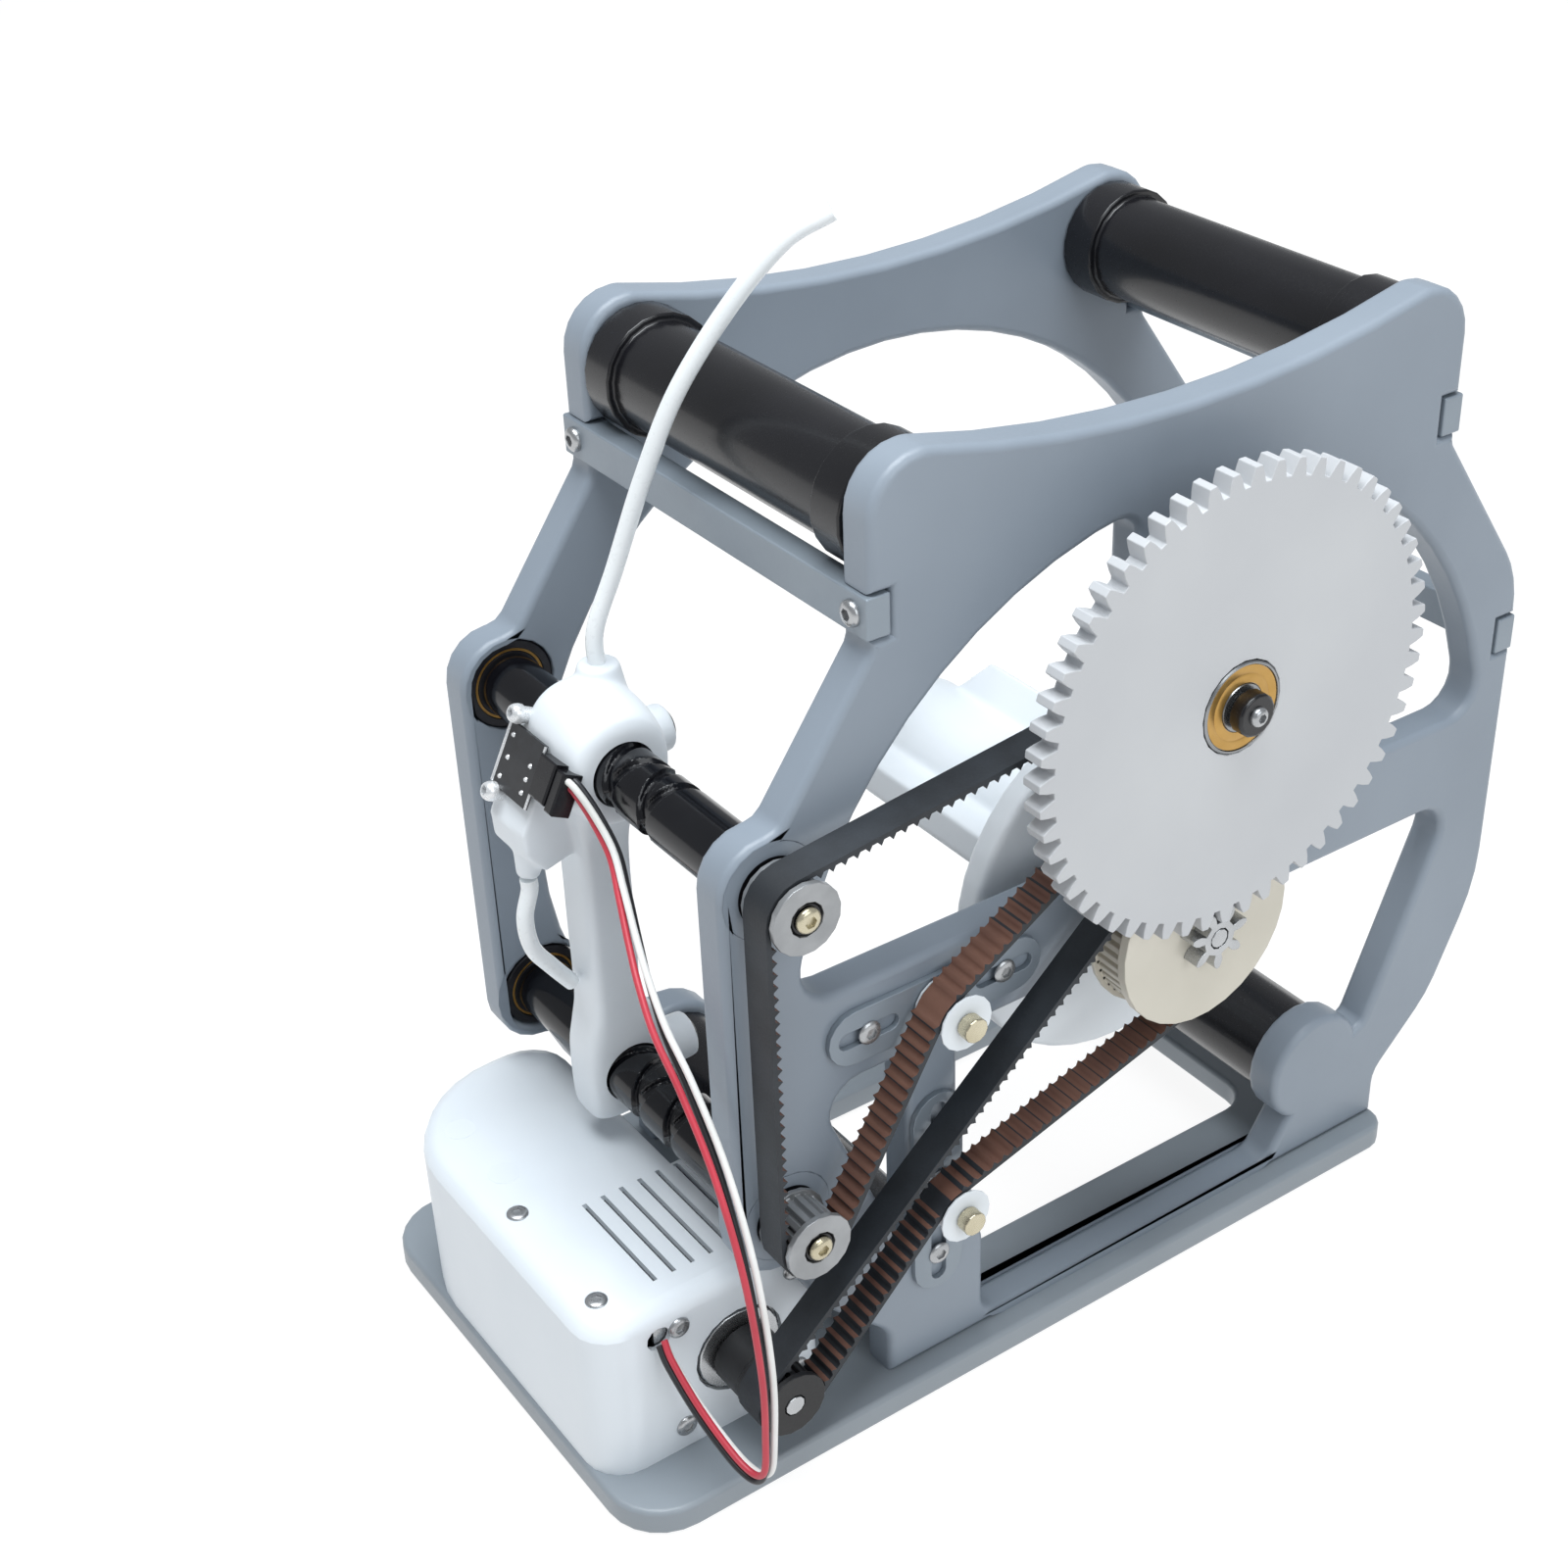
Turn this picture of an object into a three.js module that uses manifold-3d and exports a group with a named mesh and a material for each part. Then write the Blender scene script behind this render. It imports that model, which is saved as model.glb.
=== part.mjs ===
import * as THREE from 'three';
import { mergeVertices } from 'three/addons/utils/BufferGeometryUtils.js';
import Module from 'manifold-3d';

// Filament rewinder: a motor turns a spool hub through a belt, and a slow second belt turns two
// self-reversing screws that carry the filament guide to and fro in front of the spool.
// Lengths are millimetres. X runs across the machine with the belts on +X, Y runs from the
// guide (-Y) to the back, Z is up. Points of a side view are written (y, z).

// Fits and curve quality
const seatGap = 0.3;
const overrun = 1;
const chordError = 0.15;
const weldDistance = 0.0001;
const sliverSize = 0.008;

// Side plates: the large opening for the spool, and the rim round it
const plateInnerX = 49;
const plateThickness = 10;
const plateOuterX = plateInnerX + plateThickness;
const baseTopZ = 7.4;
const openingRadius = 105.5;
const openingFloorHeight = 2;
const openingFloorZ = baseTopZ + openingFloorHeight;
const openingFloorDip = 4.3;
const openingCornerRoom = 12;
const spoolZ = openingFloorZ + openingRadius - openingFloorDip;

// Places of the traverse screws: the lower one clears the electronics cover, and both keep a rim
// between their bearings and the large opening
const coverHeight = 45.2;
const coverTopZ = baseTopZ + coverHeight;
const lowerScrewGap = 19.7;
const lowerScrewZ = coverTopZ + lowerScrewGap;
const upperScrewRise = 48.3;
const upperScrewZ = spoolZ + upperScrewRise;
const bearingRim = 10.4105;
const screwReach = (rise) => Math.sqrt((openingRadius + bearingRim) ** 2 - rise ** 2);
const screwY = -Math.max(screwReach(upperScrewRise), screwReach(spoolZ - lowerScrewZ));

// Side plates: outline
const waistRim = 5;
const waistHalf = waistRim - screwY;
const waistDrop = 40.7;
const waistBottomZ = spoolZ - waistDrop;
const waistBottomFillet = 50;
const waistRise = 50.7;
const waistTopZ = spoolZ + waistRise;
const waistTopFillet = 30;
const footHeight = 13.1;
const footTopZ = baseTopZ + footHeight;
const footFillet = 8;
const legInset = 14.2;
const legHalf = waistHalf - legInset;
const legRise = 18.2;
const legZ = footTopZ + legRise;
const legFillet = 30;
const footInset = 18.2;
const footHalf = legHalf - footInset;
const headInset = 30.9;
const headHalf = waistHalf - headInset;
const crownRim = 19.8;
const saddleLowZ = spoolZ + openingRadius + crownRim;
const saddleDepth = 8.5;
const saddleShoulder = 14.5;
const saddleHalf = headHalf - saddleShoulder;
const saddleFillet = 5;
const headTopZ = saddleLowZ + saddleDepth;
const headTopFillet = 13;
const headHeight = 39.8;
const headBottomZ = headTopZ - headHeight;
const headNeckFillet = 3;
const towerWall = 1.4;
const towerDrop = 14.9;
const towerNeckFillet = 5;
const towerTopFillet = 11.5;
const towerBottomFillet = 11;

// Self-reversing traverse screws
const screwRadius = 7.5;
const screwEndGap = 0.5;
const screwHalfLength = plateInnerX - screwEndGap;
const journalRadius = 3.7;
const farJournalDepth = 7.2;
const farJournalEndX = -plateInnerX - farJournalDepth;
const groovePitch = 14;
const grooveTurns = 4;
const grooveEndTurns = 0.5;
const grooveCentreRadius = 7.4;
const grooveRadius = 2.1;
const grooveSides = 4;
const grooveStepsPerTurn = 8;
const grooveSliverSize = 0.06;

// Toothed belts and their pulleys, at one common row of X positions
const pulleyGap = 1.2;
const pulleyBackX = plateOuterX + pulleyGap;
const flangeWidth = 1.2;
const beltLaneX = pulleyBackX + flangeWidth;
const beltSideGap = 0.3;
const beltX = beltLaneX + beltSideGap;
const beltWidth = 8.3;
const beltLaneEndX = beltX + beltWidth + beltSideGap;
const frontFlangeWidth = 1.5;
const pulleyEndX = beltLaneEndX + frontFlangeWidth;
const nearJournalEndX = pulleyEndX - seatGap;
const beltLand = 1.2;
const beltTooth = 1.2;
const beltPitch = 3;
const beltToothWidth = 1.7;
const beltWrapGap = 0.3;
const smallTeeth = 16;
const smallTipRadius = 7.26;
const smallRootRadius = 6.05;
const smallFlangeRadius = 8.3;
const largeTeeth = 50;
const largeTipRadius = 23.49;
const largeRootRadius = 22.3;
const largeFlangeRadius = 25;
const largeFlangeWidth = 2.7;
const largeFlangeEndX = beltLaneEndX + largeFlangeWidth;

// Gear on a fixed stud, pinion on the spool shaft
const gearTeeth = 56;
const pinionTeeth = 7;
const gearModule = 1.96;
const gearPitchRadius = (gearTeeth * gearModule) / 2;
const pinionPitchRadius = (pinionTeeth * gearModule) / 2;
const gearZ = spoolZ + gearPitchRadius + pinionPitchRadius;
const gearToothRise = 1.52;
const gearToothDrop = 2.48;
const gearTipRadius = gearPitchRadius + gearToothRise;
const gearRootRadius = gearPitchRadius - gearToothDrop;
const pinionToothRise = 1.64;
const pinionToothDrop = 2.26;
const pinionTipRadius = pinionPitchRadius + pinionToothRise;
const pinionRootRadius = pinionPitchRadius - pinionToothDrop;
const gearBackGap = 0.6;
const gearBackX = largeFlangeEndX + gearBackGap;
const gearThickness = 5.4;
const gearFrontX = gearBackX + gearThickness;
const pinionSetback = 1.5;
const pinionEndX = gearFrontX - pinionSetback;
const toothPlay = 0.5;
const pressureAngle = 20;
const gearDiscRadius = 16;
const gearBearingDepth = 6.7;
const gearBearingX = gearFrontX - gearBearingDepth;
const studClearance = 0.5;
const studRadius = 3.7;
const studStartX = plateInnerX + seatGap;
const studProud = 1;
const studEndX = gearFrontX + studProud;
const capRadius = 5.2;
const capLength = 4;
const capEndX = studEndX + capLength;

// Ball bearings
const bearingRadius = 11;
const bearingWidth = 7;
const bearingInset = 0.5;
const bearingLipRadius = 8;

// Belt tensioners: slotted brackets, and idlers on bolts beside the belts' straight runs
const bracketLength = 58.5;
const bracketWidth = 14;
const bracketThickness = 1.5;
const idlerSetback = 40.9;
const upperIdlerY = screwY + idlerSetback;
const upperIdlerRise = 4.1;
const upperRunShare = idlerSetback / -screwY;
const upperIdlerZ = lowerScrewZ + upperRunShare * (gearZ - lowerScrewZ) + upperIdlerRise;
const slotOffset = 18.6;
const slotLength = 16;
const slotWidth = 4.2;
const idlerRadius = 5.5;
const idlerFlangeRadius = 6.9;
const idlerFlangeWidth = 0.6;
const idlerBoltRadius = 1.5;
const idlerBoltHeadRadius = 3.1;
const idlerBoltHeadHeight = 3.3;

// Drive side plate: web, spoke, strut and the windows between them
const webDrop = 9.4;
const webBottomZ = spoolZ - webDrop;
const webRise = 15.8;
const webTopZ = spoolZ + webRise;
const webFillet = 8;
const spokeHalf = 13.5;
const spokeFillet = 5;
const hubBossRadius = 20;
const strutFrontHalf = 7.5;
const strutBackHalf = 7;
const strutFrontY = upperIdlerY - strutFrontHalf;
const strutBackY = upperIdlerY + strutBackHalf;
const strutFillet = 4;
const strutFootHeight = 36.6;
const strutFootZ = openingFloorZ + strutFootHeight;
const frontWebReach = 7.9;
const frontWebBackY = strutBackY + frontWebReach;
const frontWebSlant = 8;
const frontWebTopZ = strutFootZ - frontWebSlant;
const frontWindowSill = 4;
const frontWindowZ = strutFootZ + frontWindowSill;
const frontWindowFillet = 2.5;
const wallFootRim = 7;
const wallFootHalf = footHalf - wallFootRim;
const wallFootHeight = 31.1;
const wallFootZ = openingFloorZ + wallFootHeight;
const wallFootFillet = 3;
const wallTopRim = 14.2;
const wallTopHalf = waistHalf - wallTopRim;
const floorFillet = 6;
const padMargin = 2.5;

// Crossbars between the plates
const barHeight = 9.4;
const barDepth = 6;
const barProud = 1;
const topBarRise = 7.3;
const topBarZ = headBottomZ + topBarRise;
const middleBarDrop = 15.8;
const middleBarZ = waistTopZ - middleBarDrop;

// Guide rollers at the top and spacer tubes at the foot
const rollerInset = 14.3;
const rollerY = headHalf - rollerInset;
const rollerDrop = 16.4;
const rollerZ = headTopZ - rollerDrop;
const rollerRadius = 12.75;
const rollerCollarRadius = 14.5;
const rollerCollarWidth = 10;
const rollerEndGap = 0.3;
const rollerAxleRadius = 3.7;
const rollerAxleSink = 6;
const tubeRise = 24;
const tubeZ = openingFloorZ + tubeRise;
const frontTubeInset = 9;
const frontTubeY = frontTubeInset - footHalf;
const rearTubeInset = 24;
const rearTubeY = footHalf - rearTubeInset;
const tubeRadius = 13;
const tubeBoreRadius = 10;

// Spool hub and its shaft
const hubFlangeRadius = 47;
const hubFlangeGap = 4;
const hubFlangeThickness = 7;
const hubFlangeEndX = plateInnerX - hubFlangeGap;
const hubFlangeX = hubFlangeEndX - hubFlangeThickness;
const hubNeckRadius = 9;
const hubNeckEndX = plateInnerX - seatGap;
const hubCoreRadius = 17;
const hubCoreLength = 80;
const hubTipX = hubFlangeX - hubCoreLength;
const hubTipFillet = 4;
const hubRibRadius = 26.7;
const hubRibThickness = 9;
const hubRibLength = 63;
const hubRibX = hubFlangeX - hubRibLength;
const hubRibSlant = 6;
const hubRibTipX = hubRibX - hubRibSlant;
const hubRibAngles = [50, 170, 290];
const hubFlangeChamfer = 1;
const shaftRadius = 3.7;
const shaftDepth = 58;
const shaftStartX = hubFlangeX - shaftDepth;
const shaftStepX = largeFlangeEndX - seatGap;
const shaftEndRadius = 2.5;

// Electronics cover's walls; its places are set with the motor's below
const coverWall = 1.6;
const coverEdge = 4;
const coverRightX = plateInnerX;

// Motor and its pulley, in front of the lower screw
const motorForward = 8.4;
const motorY = screwY - motorForward;
const motorRise = 22.2;
const motorZ = baseTopZ + motorRise;
const motorWidth = 42.3;
const motorCornerCut = 4;
const motorFaceX = coverRightX - coverWall - seatGap;
const motorLength = 39.5;
const motorPilotRadius = 11;
const motorPilotHeight = 2;
const motorShaftRadius = 2.5;
const motorShaftProud = 0.2;
const motorShaftEndX = pulleyEndX + motorShaftProud;
const motorHubRadius = 8;
const motorHubGap = 1.5;
const motorHubX = coverRightX + motorHubGap;
const motorShaftDepth = 4;

// Idler of the drive belt, beside its run from the motor to the spool shaft
const lowerIdlerY = upperIdlerY;
const lowerIdlerDrop = 5;
const driveRunShare = (lowerIdlerY - motorY) / -motorY;
const lowerIdlerZ = motorZ + driveRunShare * (spoolZ - motorZ) - lowerIdlerDrop;

// Electronics cover, placed from the motor's axis, and the board inside
const coverLeftInset = 3;
const coverLeftX = coverLeftInset - plateOuterX;
const coverForward = 37.2;
const coverFrontY = motorY - coverForward;
const coverBackward = 10.3;
const coverBackY = motorY + coverBackward;
const coverLeftFillet = 31;
const coverRightFillet = 10;
const coverBackFillet = 12;
const baySideGap = 2.1;
const bayLeftX = motorFaceX - motorLength - baySideGap;
const bayForward = 4.2;
const bayFrontY = motorY - bayForward;
const bayBackward = 23;
const bayBackY = motorY + bayBackward;
const bayFillet = 4.4;
const coverMotorHoleRadius = 11.8;
const ventStartInset = 2.5;
const ventStartX = bayLeftX + ventStartInset;
const ventEndInset = 9;
const ventEndX = coverRightX - ventEndInset;
const ventForward = 15.5;
const ventFirstY = motorY - ventForward;
const ventPitch = 5;
const ventCount = 6;
const ventWidth = 1.2;
const cableHoleDrop = 8.1;
const cableHoleZ = coverTopZ - cableHoleDrop;
const cableHoleForward = 20.7;
const cableHoleY = motorY - cableHoleForward;
const cableHoleRadius = 3.2;
const boardLeftGap = 12;
const boardLeftX = coverLeftX + boardLeftGap;
const boardRightGap = 3.5;
const boardRightX = bayLeftX - boardRightGap;
const boardFrontGap = 14;
const boardFrontY = coverFrontY + boardFrontGap;
const boardBackGap = 5.5;
const boardBackY = coverBackY - boardBackGap;
const boardRise = 4;
const boardZ = baseTopZ + boardRise;
const boardThickness = 1.6;
const boardFillet = 3;
const boardPostRadius = 2.5;
const boardPostInset = 5;

// Base plate
const baseSideMargin = 6;
const baseHalfWidth = plateOuterX + baseSideMargin;
const baseFrontMargin = 0.9;
const baseFrontY = coverFrontY - baseFrontMargin;
const baseBackMargin = 0.5;
const baseBackY = footHalf + baseBackMargin;
const baseFrontFillet = 15;
const baseBackFillet = 6;
const cutoutSideInset = 15;
const cutoutHalfWidth = plateInnerX - cutoutSideInset;
const cutoutFrontInset = 22;
const cutoutFrontY = cutoutFrontInset - footHalf;
const cutoutBackInset = 23;
const cutoutBackY = footHalf - cutoutBackInset;
const cutoutFillet = 8;

// Filament guide carriage on the two screws; the guide's points are measured from the upper
// screw's axis and the lower block's from the lower one's
const carriageLeftX = -24;
const carriageRightX = 2;
const guideBackY = 13.4;
const guideBackBottomZ = -12.9;
const guideBackTopZ = 12.1;
const guideCrownBackY = 8.4;
const guideCrownFrontY = -2.6;
const guideCrownZ = 21.1;
const boardFaceTopY = -12.1;
const boardFaceTopZ = 5.9;
const boardFaceBottomY = -18.9;
const boardFaceBottomZ = -7.7;
const guideLipY = -22.6;
const guideLipTopZ = -12.4;
const guideLipBottomZ = -22.9;
const guideChinY = -12.6;
const guideChinZ = -25.9;
const armFrontY = -7.6;
const armBackY = 1.8;
const armLeftX = -18;
const armRightX = -5.5;
const armTopZ = -18.9;
const armBottomZ = 7.7;
const armFillet = 3;
const guideFillet = 4;
const guideBackFillet = 8;
const guideSharpFillet = 2;
const lowerBlockFrontY = -12.6;
const lowerBlockBottomZ = -15.3;
const lowerBlockTopZ = 15.7;
const lowerBlockFillet = 8;
const followerBossRadius = 8;
const followerBossEndY = 18.4;
const followerX = -11;
const socketX = -16;
const socketBackward = 5.4;
const socketY = screwY + socketBackward;
const socketRadius = 5;
const socketRise = 24.1;
const socketTopZ = upperScrewZ + socketRise;
const socketDepth = 9;
const nozzleX = -14;
const nozzleForward = 18.1;
const nozzleY = screwY - nozzleForward;
const nozzleTopRadius = 5;
const nozzleTipRadius = 3.4;
const nozzleTopDrop = 13.9;
const nozzleTopZ = upperScrewZ - nozzleTopDrop;
const nozzleTipDrop = 27.9;
const nozzleTipZ = upperScrewZ - nozzleTipDrop;

// Sensor board and plug on the carriage's sloping face
const sensorLength = 15.2;
const sensorLeftX = -24;
const sensorRightX = -11.5;
const sensorThickness = 1.6;
const sensorPlugLeftX = -11;
const sensorPlugRightX = 0;
const sensorPlugLength = 9;
const sensorPlugHeight = 5.6;

// Guide tubes and the sensor's cable, each as a run of points (x, y, z)
const guideTubeRadius = 2;
const cableRadius = 1.6;
const cordSides = 8;
const cordStepDiameters = 2.5;
const feedTubePoints = [
  [socketX, socketY, socketTopZ - socketDepth + seatGap],
  [socketX, socketY, 185],
  [-13.6, -99, 200],
  [-9, -93.4, 220.3],
  [-3, -87.2, 240.4],
  [4, -77.4, 259],
  [10, -67.8, 271.8],
  [15, -59.5, 277.3],
];
const loopEndY = screwY + armFrontY - guideTubeRadius - seatGap;
const loopRun = nozzleTipZ - lowerScrewZ - lowerBlockTopZ;
const loopTubeShares = [
  [0, 0.007],
  [0, 0.0814],
  [-0.2317, 0.2442],
  [-0.1098, 0.4419],
  [0.4268, 0.6093],
  [1, 0.7628],
];
const loopTubePoints = loopTubeShares.map(([back, down]) => (
  [nozzleX, nozzleY + back * (loopEndY - nozzleY), nozzleTipZ - down * loopRun]));
const sensorCablePoints = [
  [1.6, -126.6, 160.6],
  [7, -127.6, 160.4],
  [14, -128, 156.5],
  [24, -128.4, 148],
  [34, -128.6, 136.5],
  [43, -128.8, 125],
  [53, -129.2, 114],
  [66, -130, 99],
  [76.5, -130.6, 79],
  [80.5, -131, 53],
  [77.5, -132, 30],
  [68, -134.5, 22.5],
  [58.5, -137, 28.5],
  [53.5, cableHoleY, 39],
  [coverRightX + cableRadius, cableHoleY, cableHoleZ],
];

// Colours
const plateGrey = '#838587';
const baseGrey = '#8d9194';
const barGrey = '#9aa1a8';
const rollerBlack = '#141419';
const plasticWhite = '#e4e8ea';
const gearWhite = '#d4d6d7';
const coverWhite = '#dfe6ea';
const discCream = '#c8c3b4';
const steelSilver = '#b4b6b8';
const boltSilver = '#c2c0ba';
const brassShield = '#be9650';
const screwBlack = '#1b1c20';
const beltBlack = '#1d2126';
const pulleyGrey = '#969696';
const boardGreen = '#1d4a34';
const boardBlue = '#23354f';
const plugBlack = '#18181a';
const tubeWhite = '#eceff0';
const cableRed = '#b5424d';

const wasm = await Module();
wasm.setup();

const axisX = new THREE.Vector3(1, 0, 0);
const axisY = new THREE.Vector3(0, 1, 0);
const axisZ = new THREE.Vector3(0, 0, 1);
const fullTurn = 2 * Math.PI;

// Straight runs needed to draw an arc within the chord error
function arcSteps(radius, angle) {
  const widest = 2 * Math.acos(1 - Math.min(chordError / radius, 1));
  return Math.max(1, Math.ceil(Math.abs(angle) / widest));
}

// Corners (u, v, fillet) to outline points; a fillet shrinks where its sides are too short
function outline(corners) {
  const at = corners.map(([u, v]) => new THREE.Vector2(u, v));
  const count = corners.length;
  const halfAngles = at.map((corner, i) => {
    const before = at[(i + count - 1) % count].clone().sub(corner).normalize();
    const after = at[(i + 1) % count].clone().sub(corner).normalize();
    return Math.acos(THREE.MathUtils.clamp(before.dot(after), -1, 1)) / 2;
  });
  const wanted = corners.map(([, , fillet], i) => (fillet ? fillet / Math.tan(halfAngles[i]) : 0));
  const share = at.map((corner, i) => {
    const next = (i + 1) % count;
    const asked = wanted[i] + wanted[next];
    return asked > 0 ? Math.min(1, corner.distanceTo(at[next]) / asked) : 1;
  });
  const points = [];
  at.forEach((corner, i) => {
    const reach = wanted[i] * Math.min(share[i], share[(i + count - 1) % count]);
    if (reach === 0) {
      points.push(corner.clone());
      return;
    }
    const before = at[(i + count - 1) % count].clone().sub(corner).normalize();
    const after = at[(i + 1) % count].clone().sub(corner).normalize();
    const radius = reach * Math.tan(halfAngles[i]);
    const inward = before.clone().add(after).normalize();
    const centre = corner.clone().addScaledVector(inward, radius / Math.sin(halfAngles[i]));
    const from = corner.clone().addScaledVector(before, reach).sub(centre).angle();
    const to = corner.clone().addScaledVector(after, reach).sub(centre).angle();
    const turn = Math.atan2(Math.sin(to - from), Math.cos(to - from));
    const steps = arcSteps(radius, turn);
    for (let k = 0; k <= steps; k += 1) {
      const angle = from + (turn * k) / steps;
      points.push(new THREE.Vector2(Math.cos(angle), Math.sin(angle)).multiplyScalar(radius).add(centre));
    }
  });
  return points;
}

// Corners along an arc about (u, v)
function arcCorners(u, v, radius, from, to) {
  const steps = arcSteps(radius, to - from);
  const corners = [];
  for (let k = 0; k <= steps; k += 1) {
    const angle = from + ((to - from) * k) / steps;
    corners.push([u + radius * Math.cos(angle), v + radius * Math.sin(angle), 0]);
  }
  return corners;
}

// Closed shape from corners, with optional holes
function shapeOf(corners, holes = []) {
  const shape = new THREE.Shape(outline(corners));
  holes.forEach((hole) => shape.holes.push(new THREE.Path(outline(hole))));
  return shape;
}

// Rectangle and slot as corners
function rectangle(u0, u1, v0, v1, fillet = 0) {
  return [[u0, v0, fillet], [u1, v0, fillet], [u1, v1, fillet], [u0, v1, fillet]];
}

function stadium(u, v, lengthU, lengthV) {
  const end = Math.min(lengthU, lengthV) / 2;
  return rectangle(u - lengthU / 2, u + lengthU / 2, v - lengthV / 2, v + lengthV / 2, end);
}

// Closed geometry to a solid, turned outward
function solid(geometry) {
  const bare = geometry.clone();
  bare.deleteAttribute('normal');
  bare.deleteAttribute('uv');
  const merged = mergeVertices(bare, weldDistance);
  const position = merged.getAttribute('position');
  const corner = [new THREE.Vector3(), new THREE.Vector3(), new THREE.Vector3()];
  const triangles = [];
  let volume = 0;
  for (let i = 0; i < merged.index.count; i += 3) {
    const ids = [0, 1, 2].map((k) => merged.index.getX(i + k));
    if (ids[0] === ids[1] || ids[1] === ids[2] || ids[2] === ids[0]) continue;
    ids.forEach((id, k) => corner[k].fromBufferAttribute(position, id));
    volume += corner[0].dot(corner[1].clone().cross(corner[2]));
    triangles.push(ids);
  }
  const ordered = volume < 0 ? triangles.map(([a, b, c]) => [a, c, b]) : triangles;
  return new wasm.Manifold(new wasm.Mesh({
    numProp: 3,
    vertProperties: Float32Array.from(position.array),
    triVerts: Uint32Array.from(ordered.flat()),
  }));
}

const join = (...solids) => solids.reduce((all, one) => all.add(one));
const cut = (body, ...tools) => tools.reduce((left, tool) => left.subtract(tool), body);

// Largest body left after cuts that may part off slivers
function largest(made) {
  return made.decompose().reduce((most, one) => (one.volume() > most.volume() ? one : most));
}

// Side-view shape drawn in (y, z) and pulled along X
function alongX(shape, from, to) {
  const geometry = new THREE.ExtrudeGeometry(shape, { depth: to - from, bevelEnabled: false });
  geometry.applyMatrix4(new THREE.Matrix4().makeBasis(axisY, axisZ, axisX));
  geometry.translate(from, 0, 0);
  return solid(geometry);
}

// Plan shape drawn in (x, y) and pulled up Z
function alongZ(shape, from, to) {
  const geometry = new THREE.ExtrudeGeometry(shape, { depth: to - from, bevelEnabled: false });
  geometry.translate(0, 0, from);
  return solid(geometry);
}

function block(x0, x1, y0, y1, z0, z1) {
  const geometry = new THREE.BoxGeometry(x1 - x0, y1 - y0, z1 - z0);
  geometry.translate((x0 + x1) / 2, (y0 + y1) / 2, (z0 + z1) / 2);
  return solid(geometry);
}

// Profile (along, radius) turned about an axis; the ends close on the axis
function lathe(profile) {
  const widest = Math.max(...profile.map(([, radius]) => radius));
  const first = new THREE.Vector2(0, profile[0][0]);
  const last = new THREE.Vector2(0, profile.at(-1)[0]);
  const points = [first, ...profile.map(([along, radius]) => new THREE.Vector2(radius, along)), last];
  return new THREE.LatheGeometry(points, arcSteps(widest, fullTurn));
}

function turnedX(profile, y, z) {
  return solid(lathe(profile).rotateZ(-Math.PI / 2).translate(0, y, z));
}

function turnedY(profile, x, z) {
  return solid(lathe(profile).translate(x, 0, z));
}

function turnedZ(profile, x, y) {
  return solid(lathe(profile).rotateX(Math.PI / 2).translate(x, y, 0));
}

const rodX = (radius, from, to, y, z) => turnedX([[from, radius], [to, radius]], y, z);
const rodY = (radius, from, to, x, z) => turnedY([[from, radius], [to, radius]], x, z);
const rodZ = (radius, from, to, x, y) => turnedZ([[from, radius], [to, radius]], x, y);

const machine = new THREE.Group();
const cordNames = ['feed_tube', 'loop_tube', 'sensor_cable'];

// Solid to a named mesh with its own material
function piece(name, made, color, roughness, metalness) {
  const { vertProperties, triVerts } = made.simplify(sliverSize).getMesh();
  const geometry = new THREE.BufferGeometry();
  geometry.setAttribute('position', new THREE.BufferAttribute(vertProperties, 3));
  geometry.setIndex(new THREE.BufferAttribute(triVerts, 1));
  geometry.computeVertexNormals();
  const mesh = new THREE.Mesh(geometry, new THREE.MeshStandardMaterial({ color, roughness, metalness }));
  mesh.name = name;
  machine.add(mesh);
}

// Base plate with the large opening under the spool
function addBasePlate() {
  const rim = [
    [-baseHalfWidth, baseFrontY, baseFrontFillet],
    [baseHalfWidth, baseFrontY, baseFrontFillet],
    [baseHalfWidth, baseBackY, baseBackFillet],
    [-baseHalfWidth, baseBackY, baseBackFillet],
  ];
  const hole = rectangle(-cutoutHalfWidth, cutoutHalfWidth, cutoutFrontY, cutoutBackY, cutoutFillet);
  piece('base_plate', alongZ(shapeOf(rim, [hole]), 0, baseTopZ), baseGrey, 0.45, 0.6);
}

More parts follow.
